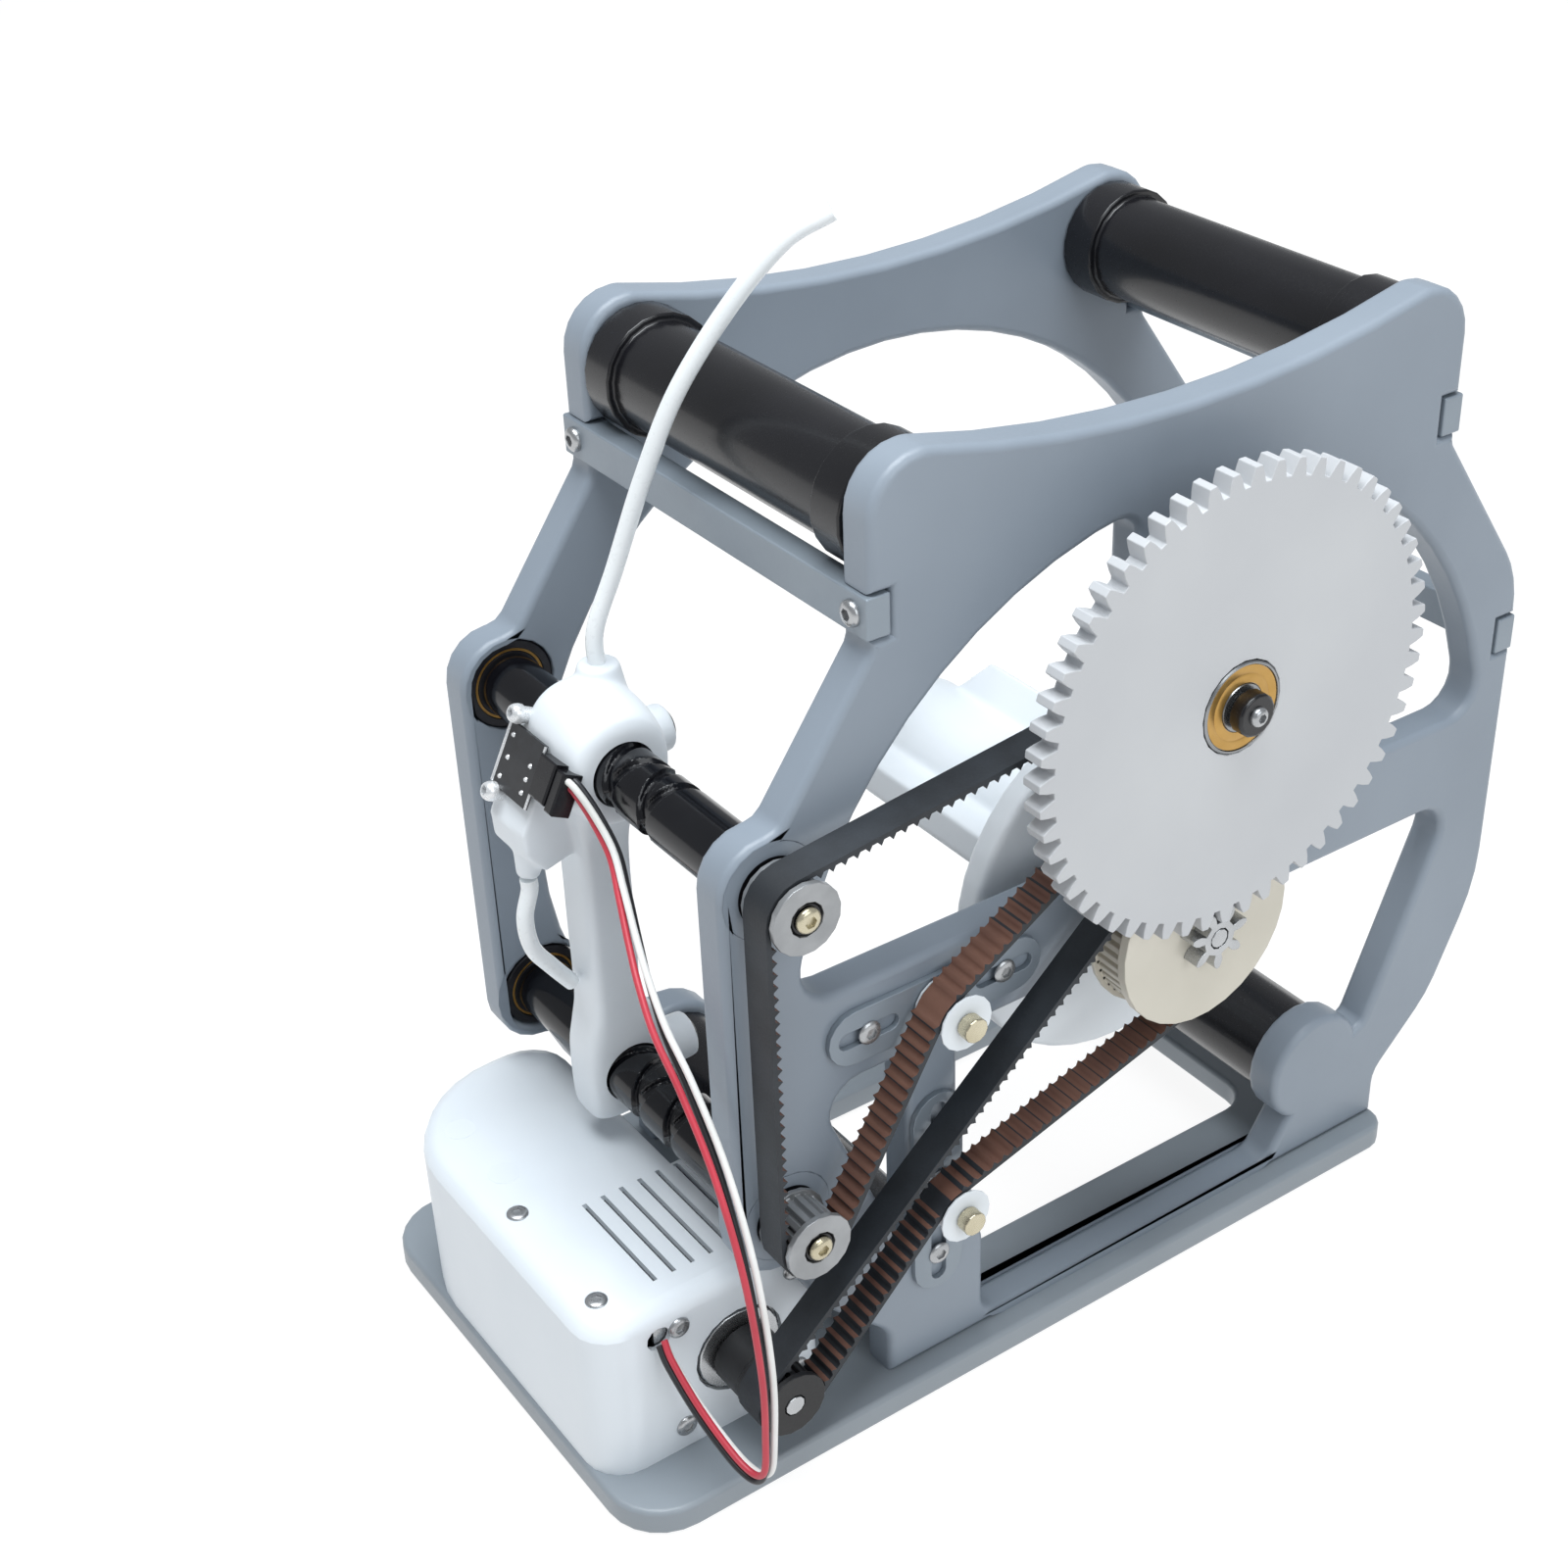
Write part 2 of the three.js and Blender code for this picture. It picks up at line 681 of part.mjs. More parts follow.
// Side view outline shared by both plates, with the tower that holds the screws' bearings
function plateOutline() {
  const lineY = (a, b, z) => a[0] + ((b[0] - a[0]) * (z - a[1])) / (b[1] - a[1]);
  const towerReach = bearingRadius + towerWall;
  const towerTopZ = upperScrewZ + towerReach;
  const towerBottomZ = lowerScrewZ - towerDrop;
  const towerTopY = lineY([-headHalf, headBottomZ], [-waistHalf, waistTopZ], towerTopZ);
  const towerBottomY = lineY([-legHalf, legZ], [-waistHalf, waistBottomZ], towerBottomZ);
  const sag = headTopZ - saddleLowZ;
  const saddleRadius = (saddleHalf ** 2 + sag ** 2) / (2 * sag);
  const spread = Math.asin(saddleHalf / saddleRadius);
  const down = -Math.PI / 2;
  const saddle = arcCorners(0, saddleLowZ + saddleRadius, saddleRadius, down + spread, down - spread);
  return [
    [footHalf, baseTopZ, 0],
    [footHalf, footTopZ, footFillet],
    [legHalf, legZ, legFillet],
    [waistHalf, waistBottomZ, waistBottomFillet],
    [waistHalf, waistTopZ, waistTopFillet],
    [headHalf, headBottomZ, headNeckFillet],
    [headHalf, headTopZ, headTopFillet],
    [saddleHalf, headTopZ, saddleFillet],
    ...saddle.slice(1, -1),
    [-saddleHalf, headTopZ, saddleFillet],
    [-headHalf, headTopZ, headTopFillet],
    [-headHalf, headBottomZ, headNeckFillet],
    [towerTopY, towerTopZ, towerNeckFillet],
    [screwY - towerReach, towerTopZ, towerTopFillet],
    [screwY - towerReach, towerBottomZ, towerBottomFillet],
    [towerBottomY, towerBottomZ, headNeckFillet],
    [-legHalf, legZ, legFillet],
    [-footHalf, footTopZ, footFillet],
    [-footHalf, baseTopZ, 0],
  ];
}

const padRadius = tubeRadius + padMargin;
const seatRadius = bearingRadius + seatGap;
const topBarFrontY = -headHalf - barProud;
const bars = [
  { name: 'front_top_crossbar', side: -1, faceY: topBarFrontY, z: topBarZ },
  { name: 'rear_top_crossbar', side: 1, faceY: -topBarFrontY, z: topBarZ },
  { name: 'rear_middle_crossbar', side: 1, faceY: waistHalf, z: middleBarZ },
];
const barBackY = (bar) => bar.faceY - bar.side * barDepth;
const span = (a, b) => [Math.min(a, b), Math.max(a, b)];

// Cuts that both plates share: crossbar notches and the rollers' axle holes
function sharedPlateCuts(side) {
  const [x0, x1] = span(side * (plateInnerX - overrun), side * (plateOuterX + overrun));
  const cuts = bars.map((bar) => {
    const [y0, y1] = span(barBackY(bar) - bar.side * seatGap, bar.faceY + bar.side * overrun);
    return block(x0, x1, y0, y1, bar.z - barHeight / 2 - seatGap, bar.z + barHeight / 2 + seatGap);
  });
  [-rollerY, rollerY].forEach((y) => {
    const deepX = side * (plateInnerX + rollerAxleSink + seatGap);
    const [a, b] = span(side * (plateInnerX - overrun), deepX);
    cuts.push(rodX(rollerAxleRadius + seatGap, a, b, y, rollerZ));
  });
  return cuts;
}

// Bearing seat with a lip; mouthX is the face the bearing goes in from
function bearingSeat(mouthX, inwardX, y, z) {
  const direction = Math.sign(inwardX - mouthX);
  const floorX = mouthX + direction * (bearingInset + bearingWidth + seatGap);
  const [a, b] = span(mouthX - direction * overrun, floorX);
  const [c, d] = span(mouthX, inwardX + direction * overrun);
  return join(rodX(seatRadius, a, b, y, z), rodX(bearingLipRadius, c, d, y, z));
}

// Far side plate: one round opening that lets the spool in
function addPlainSidePlate() {
  const low = Math.asin((openingFloorZ - spoolZ) / openingRadius);
  const opening = arcCorners(0, spoolZ, openingRadius, low, Math.PI - low);
  const from = -plateOuterX;
  const to = -plateInnerX;
  const body = alongX(shapeOf(plateOutline()), from, to);
  const pads = [rodX(padRadius, from, to, frontTubeY, tubeZ), rodX(padRadius, from, to, rearTubeY, tubeZ)];
  const hole = cut(alongX(shapeOf(opening), from - overrun, to + overrun), ...pads);
  const seats = [upperScrewZ, lowerScrewZ].map((z) => bearingSeat(to, from, screwY, z));
  const made = cut(body, hole, ...seats, ...sharedPlateCuts(-1));
  piece('plain_side_plate', made, plateGrey, 0.42, 0.65);
}

// One of the two windows above the web of the drive side plate
function upperWindow(side) {
  const edgeY = Math.sqrt(openingRadius ** 2 - (webTopZ - spoolZ) ** 2);
  const spokeTopZ = spoolZ + Math.sqrt(openingRadius ** 2 - spokeHalf ** 2);
  const room = openingCornerRoom / openingRadius;
  const low = Math.asin((webTopZ - spoolZ) / openingRadius) + room;
  const high = Math.acos(spokeHalf / openingRadius) - room;
  return [
    [spokeHalf, webTopZ, spokeFillet],
    [edgeY, webTopZ, webFillet],
    ...arcCorners(0, spoolZ, openingRadius, low, high),
    [spokeHalf, spokeTopZ, spokeFillet],
  ].map(([y, z, fillet]) => [side * y, z, fillet]);
}

// Near side plate: web, spoke and strut carry the spool bearing, the gear stud and a tensioner
function addDriveSidePlate() {
  const from = plateInnerX;
  const to = plateOuterX;
  const lowerWindow = [
    [strutBackY, webBottomZ, strutFillet],
    [strutBackY, strutFootZ, strutFillet],
    [frontWebBackY, frontWebTopZ, floorFillet],
    [frontWebBackY, openingFloorZ, floorFillet],
    [rearTubeY - padRadius, openingFloorZ, floorFillet],
    [rearTubeY, tubeZ, 0],
    [wallFootHalf, wallFootZ, wallFootFillet],
    [wallTopHalf, webBottomZ, webFillet],
  ];
  const frontWallY = wallFootHalf
    + ((wallTopHalf - wallFootHalf) * (frontWindowZ - wallFootZ)) / (webBottomZ - wallFootZ);
  const frontWindow = [
    [strutFrontY, webBottomZ, strutFillet],
    [-wallTopHalf, webBottomZ, webFillet],
    [-frontWallY, frontWindowZ, frontWindowFillet],
    [strutFrontY, frontWindowZ, 0],
  ];
  const keep = [
    rodX(hubBossRadius, from - overrun, to + overrun, 0, spoolZ),
    rodX(padRadius, from - overrun, to + overrun, rearTubeY, tubeZ),
  ];
  const windows = [upperWindow(1), upperWindow(-1), lowerWindow, frontWindow];
  const holes = windows.map((corners) => {
    const open = alongX(shapeOf(corners), from - overrun, to + overrun);
    return cut(open, ...keep);
  });
  const seats = [[screwY, upperScrewZ], [screwY, lowerScrewZ], [0, spoolZ]]
    .map(([y, z]) => bearingSeat(to, from, y, z));
  const studHole = rodX(studRadius + seatGap, from - overrun, to + overrun, 0, gearZ);
  const body = alongX(shapeOf(plateOutline()), from, to);
  const made = cut(body, ...holes, ...seats, studHole, ...sharedPlateCuts(1));
  piece('drive_side_plate', made, plateGrey, 0.42, 0.65);
}

// Crossbars let into the plates' edges
function addCrossbars() {
  bars.forEach((bar) => {
    const [y0, y1] = span(barBackY(bar), bar.faceY);
    const halfZ = barHeight / 2;
    const body = block(-plateOuterX, plateOuterX, y0, y1, bar.z - halfZ, bar.z + halfZ);
    piece(bar.name, body, barGrey, 0.38, 0.7);
  });
}

// Two black rollers at the top, free on fixed axles
function addRollers() {
  const end = plateInnerX - rollerEndGap;
  const inner = end - rollerCollarWidth;
  const profile = [
    [-end, rollerCollarRadius],
    [-inner, rollerCollarRadius],
    [-inner, rollerRadius],
    [inner, rollerRadius],
    [inner, rollerCollarRadius],
    [end, rollerCollarRadius],
  ];
  [['front', -rollerY], ['rear', rollerY]].forEach(([name, y]) => {
    const bore = rodX(rollerAxleRadius + seatGap, -plateInnerX, plateInnerX, y, rollerZ);
    piece(`${name}_roller`, cut(turnedX(profile, y, rollerZ), bore), rollerBlack, 0.3, 0);
    const reach = plateInnerX + rollerAxleSink;
    piece(`${name}_roller_axle`, rodX(rollerAxleRadius, -reach, reach, y, rollerZ), steelSilver, 0.3, 0.9);
  });
}

// Two spacer tubes at the foot of the plates
function addSpacerTubes() {
  [['lower_front_tube', frontTubeY], ['lower_rear_tube', rearTubeY]].forEach(([name, y]) => {
    const body = rodX(tubeRadius, -plateInnerX, plateInnerX, y, tubeZ);
    const bore = rodX(tubeBoreRadius, -plateOuterX, plateOuterX, y, tubeZ);
    piece(name, cut(body, bore), rollerBlack, 0.35, 0);
  });
}

// Ball bearing as one closed ring
function bearing(from, y, z) {
  const bore = rodX(journalRadius + seatGap, from - overrun, from + bearingWidth + overrun, y, z);
  return cut(rodX(bearingRadius, from, from + bearingWidth, y, z), bore);
}

function addBearings() {
  const farX = -plateInnerX - bearingInset - bearingWidth;
  const nearX = plateOuterX - bearingInset - bearingWidth;
  [['upper', upperScrewZ], ['lower', lowerScrewZ]].forEach(([name, z]) => {
    piece(`${name}_screw_bearing_far`, bearing(farX, screwY, z), brassShield, 0.35, 0.8);
    piece(`${name}_screw_bearing_near`, bearing(nearX, screwY, z), brassShield, 0.35, 0.8);
  });
  piece('spool_bearing', bearing(nearX, 0, spoolZ), brassShield, 0.35, 0.8);
}

// Centre line of one hand of the crossing groove: steady pitch, slowing to a stop at both ends
class GrooveLine extends THREE.Curve {
  constructor(hand, y, z) {
    super();
    this.hand = hand;
    this.y = y;
    this.z = z;
  }

  getPoint(u, target = new THREE.Vector3()) {
    const turn = (u - 0.5) * grooveTurns;
    const steady = grooveTurns / 2 - grooveEndTurns;
    const late = Math.max(0, Math.abs(turn) - steady);
    const run = Math.min(Math.abs(turn), steady) + late - late ** 2 / (2 * grooveEndTurns);
    const angle = this.hand * fullTurn * turn;
    return target.set(
      Math.sign(turn) * groovePitch * run,
      this.y + grooveCentreRadius * Math.cos(angle),
      this.z + grooveCentreRadius * Math.sin(angle),
    );
  }
}

// Rounded cord section with the given number of sides
function sectionShape(radius, sides) {
  const points = [];
  for (let k = 0; k < sides; k += 1) {
    const angle = (fullTurn * k) / sides;
    points.push(new THREE.Vector2(radius * Math.cos(angle), radius * Math.sin(angle)));
  }
  return new THREE.Shape(points);
}

// Traverse screw: round bar with journals and two crossing grooves that meet at their ends
function traverseScrew(z) {
  const body = turnedX([
    [farJournalEndX, journalRadius],
    [-screwHalfLength, journalRadius],
    [-screwHalfLength, screwRadius],
    [screwHalfLength, screwRadius],
    [screwHalfLength, journalRadius],
    [nearJournalEndX, journalRadius],
  ], screwY, z);
  const grooves = [1, -1].map((hand) => solid(new THREE.ExtrudeGeometry(
    sectionShape(grooveRadius, grooveSides),
    { steps: grooveTurns * grooveStepsPerTurn, extrudePath: new GrooveLine(hand, screwY, z) },
  )));
  return largest(cut(body, ...grooves)).simplify(grooveSliverSize);
}

// Corners of a toothed pulley in side view
function pulleyCorners(teeth, tipRadius, rootRadius, y, z) {
  const corners = [];
  const toothShares = [[0.07, 0], [0.23, 1], [0.77, 1], [0.93, 0]];
  for (let k = 0; k < teeth; k += 1) {
    toothShares.forEach(([along, high]) => {
      const angle = (fullTurn * (k + along)) / teeth;
      const radius = high ? tipRadius : rootRadius;
      corners.push([y + radius * Math.cos(angle), z + radius * Math.sin(angle), 0]);
    });
  }
  return corners;
}

function toothedRim(teeth, tipRadius, rootRadius, y, z) {
  const corners = pulleyCorners(teeth, tipRadius, rootRadius, y, z);
  return alongX(shapeOf(corners), beltLaneX, beltLaneEndX);
}

// Small pulley with both flanges; the bore suits the shaft it is on
function smallPulley(y, z, boreRadius) {
  const flanges = [
    rodX(smallFlangeRadius, pulleyBackX, beltLaneX, y, z),
    rodX(smallFlangeRadius, beltLaneEndX, pulleyEndX, y, z),
  ];
  const rim = toothedRim(smallTeeth, smallTipRadius, smallRootRadius, y, z);
  const bore = rodX(boreRadius, pulleyBackX - overrun, pulleyEndX + overrun, y, z);
  return cut(join(rim, ...flanges), bore);
}

function addTraverseScrews() {
  [['upper', upperScrewZ], ['lower', lowerScrewZ]].forEach(([name, z]) => {
    piece(`${name}_traverse_screw`, traverseScrew(z), screwBlack, 0.28, 0.3);
    piece(`${name}_screw_pulley`, smallPulley(screwY, z, journalRadius + seatGap), pulleyGrey, 0.35, 0.8);
  });
}

// Involute tooth outline; the first tooth points along the given angle
function gearCorners(teeth, tipRadius, rootRadius, play, firstAngle, y, z) {
  const pitchRadius = (teeth * gearModule) / 2;
  const pressure = THREE.MathUtils.degToRad(pressureAngle);
  const baseRadius = pitchRadius * Math.cos(pressure);
  const involute = (angle) => Math.tan(angle) - angle;
  const halfAtPitch = Math.PI / (2 * teeth) - play / (2 * pitchRadius);
  const startRadius = Math.max(baseRadius, rootRadius);
  const flank = [];
  const flankSteps = 2;
  if (rootRadius < startRadius) {
    flank.push([rootRadius, halfAtPitch + involute(pressure)]);
  }
  for (let k = 0; k <= flankSteps; k += 1) {
    const radius = startRadius + ((tipRadius - startRadius) * k) / flankSteps;
    const here = Math.acos(Math.min(1, baseRadius / radius));
    flank.push([radius, halfAtPitch + involute(pressure) - involute(here)]);
  }
  const corners = [];
  for (let k = 0; k < teeth; k += 1) {
    const middle = firstAngle + (fullTurn * k) / teeth;
    const rising = flank.map(([radius, half]) => [radius, middle - half]);
    const falling = flank.map(([radius, half]) => [radius, middle + half]).reverse();
    [...rising, ...falling].forEach(([radius, angle]) => {
      corners.push([y + radius * Math.cos(angle), z + radius * Math.sin(angle), 0]);
    });
  }
  return corners;
}

// Large gear with its bearing, and the pulley behind it that drives the screws' belt
function addGear() {
  const rim = alongX(
    shapeOf(gearCorners(gearTeeth, gearTipRadius, gearRootRadius, 0, -Math.PI / 2, 0, gearZ)),
    gearBackX,
    gearFrontX,
  );
  const seat = rodX(seatRadius, gearBearingX - seatGap, gearFrontX + overrun, 0, gearZ);
  piece('transfer_gear', cut(rim, seat), gearWhite, 0.5, 0);
  piece('gear_bearing', bearing(gearBearingX, 0, gearZ), brassShield, 0.35, 0.8);
  const body = join(
    rodX(smallFlangeRadius, pulleyBackX, beltLaneX, 0, gearZ),
    toothedRim(smallTeeth, smallTipRadius, smallRootRadius, 0, gearZ),
    rodX(gearDiscRadius, beltLaneEndX, gearBackX, 0, gearZ),
  );
  const bore = rodX(studRadius + studClearance, pulleyBackX - overrun, gearBackX + overrun, 0, gearZ);
  piece('axle_pulley', cut(body, seat, bore), pulleyGrey, 0.35, 0.8);
}

// Fixed stud that the gear turns on, and its black cap
function addGearStud() {
  piece('gear_axle', rodX(studRadius, studStartX, studEndX, 0, gearZ), steelSilver, 0.3, 0.9);
  piece('gear_axle_cap', rodX(capRadius, studEndX, capEndX, 0, gearZ), plugBlack, 0.35, 0);
}

// Spool hub: flange, ribbed core and the neck that runs up to the plate
function addSpoolHub() {
  const tipRun = arcCorners(hubTipX + hubTipFillet, hubCoreRadius - hubTipFillet, hubTipFillet,
    Math.PI, Math.PI / 2).map(([along, radius]) => [along, radius]);
  const core = turnedX([
    ...tipRun,
    [hubFlangeX, hubCoreRadius],
    [hubFlangeX, hubFlangeRadius - hubFlangeChamfer],
    [hubFlangeX + hubFlangeChamfer, hubFlangeRadius],
    [hubFlangeEndX - hubFlangeChamfer, hubFlangeRadius],
    [hubFlangeEndX, hubFlangeRadius - hubFlangeChamfer],
    [hubFlangeEndX, hubNeckRadius],
    [hubNeckEndX, hubNeckRadius],
  ], 0, spoolZ);
  const ribProfile = [
    [hubFlangeX + overrun, 0, 0],
    [hubFlangeX + overrun, hubRibRadius, 0],
    [hubRibX, hubRibRadius, 0],
    [hubRibTipX, hubCoreRadius, 0],
    [hubRibTipX, 0, 0],
  ];
  const ribs = hubRibAngles.map((degrees) => {
    const shape = shapeOf(ribProfile);
    const geometry = new THREE.ExtrudeGeometry(shape, { depth: hubRibThickness, bevelEnabled: false });
    geometry.translate(0, 0, -hubRibThickness / 2);
    geometry.rotateX(THREE.MathUtils.degToRad(degrees));
    geometry.translate(0, 0, spoolZ);
    return solid(geometry);
  });
  const bore = rodX(shaftRadius + seatGap, shaftStartX - seatGap, hubNeckEndX + overrun, 0, spoolZ);
  piece('spool_hub', cut(join(core, ...ribs), bore), plasticWhite, 0.5, 0);
}

// Spool shaft with the driven pulley and the pinion
function addSpoolDrive() {
  const shaft = turnedX([
    [shaftStartX, shaftRadius],
    [shaftStepX, shaftRadius],
    [shaftStepX, shaftEndRadius],
    [pinionEndX, shaftEndRadius],
  ], 0, spoolZ);
  piece('spool_shaft', shaft, steelSilver, 0.3, 0.9);
  const pulley = join(
    rodX(largeFlangeRadius, pulleyBackX, beltLaneX, 0, spoolZ),
    toothedRim(largeTeeth, largeTipRadius, largeRootRadius, 0, spoolZ),
    rodX(largeFlangeRadius, beltLaneEndX, largeFlangeEndX, 0, spoolZ),
  );
  const bore = rodX(shaftRadius + seatGap, pulleyBackX - overrun, largeFlangeEndX + overrun, 0, spoolZ);
  piece('driven_pulley', cut(pulley, bore), discCream, 0.45, 0);
  const pinionShape = shapeOf(
    gearCorners(pinionTeeth, pinionTipRadius, pinionRootRadius, toothPlay, -Math.PI / 2, 0, spoolZ),
  );
  const pinionBore = rodX(shaftEndRadius + seatGap, shaftStepX, pinionEndX + overrun, 0, spoolZ);
  const pinion = cut(alongX(pinionShape, largeFlangeEndX, pinionEndX), pinionBore);
  piece('pinion', pinion, steelSilver, 0.35, 0.85);
}

// Slotted tensioner brackets, and the idlers with their bolts
function addTensioners() {
  const frontX = plateOuterX + bracketThickness;
  const flat = [
    { name: 'upper', y: upperIdlerY, z: upperIdlerZ, du: 1, dv: 0 },
    { name: 'lower', y: lowerIdlerY, z: lowerIdlerZ, du: 0, dv: 1 },
  ];
  flat.forEach(({ name, y, z, du, dv }) => {
    const pick = (along, across) => [du * along + dv * across, dv * along + du * across];
    const slots = [-slotOffset, slotOffset].map((shift) => (
      stadium(y + du * shift, z + dv * shift, ...pick(slotLength, slotWidth))));
    const shape = shapeOf(stadium(y, z, ...pick(bracketLength, bracketWidth)), slots);
    const boltHole = rodX(idlerBoltRadius + seatGap, plateOuterX - overrun, frontX + overrun, y, z);
    const made = cut(alongX(shape, plateOuterX, frontX), boltHole);
    piece(`${name}_tensioner_bracket`, made, barGrey, 0.35, 0.7);
  });
  const backX = beltLaneX - idlerFlangeWidth;
  const endX = beltLaneEndX + idlerFlangeWidth;
  const profile = [
    [backX, idlerFlangeRadius],
    [beltLaneX, idlerFlangeRadius],
    [beltLaneX, idlerRadius],
    [beltLaneEndX, idlerRadius],
    [beltLaneEndX, idlerFlangeRadius],
    [endX, idlerFlangeRadius],
  ];
  flat.forEach(({ name, y, z }) => {
    const bore = rodX(idlerBoltRadius + seatGap, backX - overrun, endX + overrun, y, z);
    piece(`${name}_idler`, cut(turnedX(profile, y, z), bore), plasticWhite, 0.45, 0.1);
    const boltHeadX = endX + seatGap;
    const bolt = turnedX([
      [plateOuterX + seatGap, idlerBoltRadius],
      [boltHeadX, idlerBoltRadius],
      [boltHeadX, idlerBoltHeadRadius],
      [boltHeadX + idlerBoltHeadHeight, idlerBoltHeadRadius],
    ], y, z);
    piece(`${name}_idler_bolt`, bolt, boltSilver, 0.3, 0.85);
  });
}

// Toothed belt round its stops (y, z, tip radius); an outside stop turns it the other way.
// The centre line is a chain of tangents, with the teeth on the straight runs.
function beltShape(stops) {
  const line = stops.map(({ y, z, radius, outside }) => {
    const reach = radius + beltWrapGap + beltLand / 2;
    return { centre: new THREE.Vector2(y, z), reach: outside ? -reach : reach };
  });
  const count = line.length;
  const normal = (angle) => new THREE.Vector2(-Math.sin(angle), Math.cos(angle));
  const headings = line.map((stop, i) => {
    const next = line[(i + 1) % count];
    const apart = next.centre.clone().sub(stop.centre);
    return apart.angle() - Math.asin((next.reach - stop.reach) / apart.length());
  });
  const clearRun = (stop) => {
    const inner = stop.reach - beltLand / 2;
    const toothLow = inner - beltTooth;
    return stop.reach > 0 ? Math.sqrt(inner ** 2 - toothLow ** 2) + beltWrapGap : beltTooth;
  };
  const outer = [];
  const inner = [];
  line.forEach((stop, i) => {
    const before = headings[(i + count - 1) % count];
    const after = headings[i];
    const way = Math.sign(stop.reach);
    const turn = way * THREE.MathUtils.euclideanModulo(way * (after - before), fullTurn);
    const steps = arcSteps(Math.abs(stop.reach), turn);
    for (let k = 0; k <= steps; k += 1) {
      const side = normal(before + (turn * k) / steps);
      outer.push(stop.centre.clone().addScaledVector(side, -stop.reach - beltLand / 2));
      inner.push(stop.centre.clone().addScaledVector(side, -stop.reach + beltLand / 2));
    }
    const next = line[(i + 1) % count];
    const side = normal(after);
    const start = stop.centre.clone().addScaledVector(side, -stop.reach);
    const end = next.centre.clone().addScaledVector(side, -next.reach);
    const along = end.clone().sub(start).normalize();
    const length = start.distanceTo(end) - clearRun(stop) - clearRun(next) - beltToothWidth;
    const teeth = Math.floor(length / beltPitch) + 1;
    const first = clearRun(stop) + beltToothWidth / 2 + (length - (teeth - 1) * beltPitch) / 2;
    const rise = beltLand / 2 + beltTooth;
    for (let k = 0; k < teeth; k += 1) {
      const middle = first + k * beltPitch;
      [
        [middle - beltToothWidth / 2, beltLand / 2],
        [middle, rise],
        [middle + beltToothWidth / 2, beltLand / 2],
      ].forEach(([run, height]) => {
        inner.push(start.clone().addScaledVector(along, run).addScaledVector(side, height));
      });
    }
  });
  const shape = new THREE.Shape(outer);
  shape.holes.push(new THREE.Path(inner));
  return shape;
}

// Traverse belt round the gear's pulley and both screws, and the drive belt from the motor
function addBelts() {
  const traverse = beltShape([
    { y: 0, z: gearZ, radius: smallTipRadius },
    { y: screwY, z: upperScrewZ, radius: smallTipRadius },
    { y: screwY, z: lowerScrewZ, radius: smallTipRadius },
    { y: upperIdlerY, z: upperIdlerZ, radius: idlerRadius, outside: true },
  ]);
  piece('traverse_belt', alongX(traverse, beltX, beltX + beltWidth), beltBlack, 0.7, 0);
  const drive = beltShape([
    { y: 0, z: spoolZ, radius: largeTipRadius },
    { y: motorY, z: motorZ, radius: smallTipRadius },
    { y: lowerIdlerY, z: lowerIdlerZ, radius: idlerRadius, outside: true },
  ]);
  piece('drive_belt', alongX(drive, beltX, beltX + beltWidth), beltBlack, 0.7, 0);
}

// Motor, its shaft and pulley
function addMotor() {
  const half = motorWidth / 2;
  const inset = half - motorCornerCut;
  const cornerCut = [
    [-inset, -half], [inset, -half], [half, -inset], [half, inset],
    [inset, half], [-inset, half], [-half, inset], [-half, -inset],
  ].map(([y, z]) => [motorY + y, motorZ + z, 0]);
  const body = alongX(shapeOf(cornerCut), motorFaceX - motorLength, motorFaceX);
  const pilotEndX = motorFaceX + motorPilotHeight;
  const pilot = rodX(motorPilotRadius, motorFaceX - overrun, pilotEndX, motorY, motorZ);
  const shaftDepthX = motorFaceX - motorShaftDepth;
  const shaftHole = rodX(motorShaftRadius + seatGap, shaftDepthX, pilotEndX + overrun, motorY, motorZ);
  piece('motor', cut(join(body, pilot), shaftHole), steelSilver, 0.4, 0.6);
  const shaft = rodX(motorShaftRadius, shaftDepthX + seatGap, motorShaftEndX, motorY, motorZ);
  piece('motor_shaft', shaft, steelSilver, 0.3, 0.9);
  const pulley = join(
    rodX(motorHubRadius, motorHubX, pulleyBackX, motorY, motorZ),
    smallPulley(motorY, motorZ, motorShaftRadius),
  );
  const bore = rodX(motorShaftRadius + seatGap, motorHubX - overrun, pulleyEndX + overrun, motorY, motorZ);
  piece('motor_pulley', cut(pulley, bore), plugBlack, 0.4, 0.2);
}

// Upright block with a rounded top edge
function roundedTop(corners, bottom, top, edge) {
  const geometry = new THREE.ExtrudeGeometry(new THREE.Shape(outline(corners)), {
    depth: top - edge - bottom,
    bevelThickness: edge,
    bevelSize: edge,
    bevelOffset: -edge,
    bevelSegments: 2,
  });
  geometry.translate(0, 0, bottom);
  const xs = corners.map(([x]) => x);
  const ys = corners.map(([, y]) => y);
  const under = block(
    Math.min(...xs) - overrun,
    Math.max(...xs) + overrun,
    Math.min(...ys) - overrun,
    Math.max(...ys) + overrun,
    bottom - edge - overrun,
    bottom,
  );
  return cut(solid(geometry), under);
}

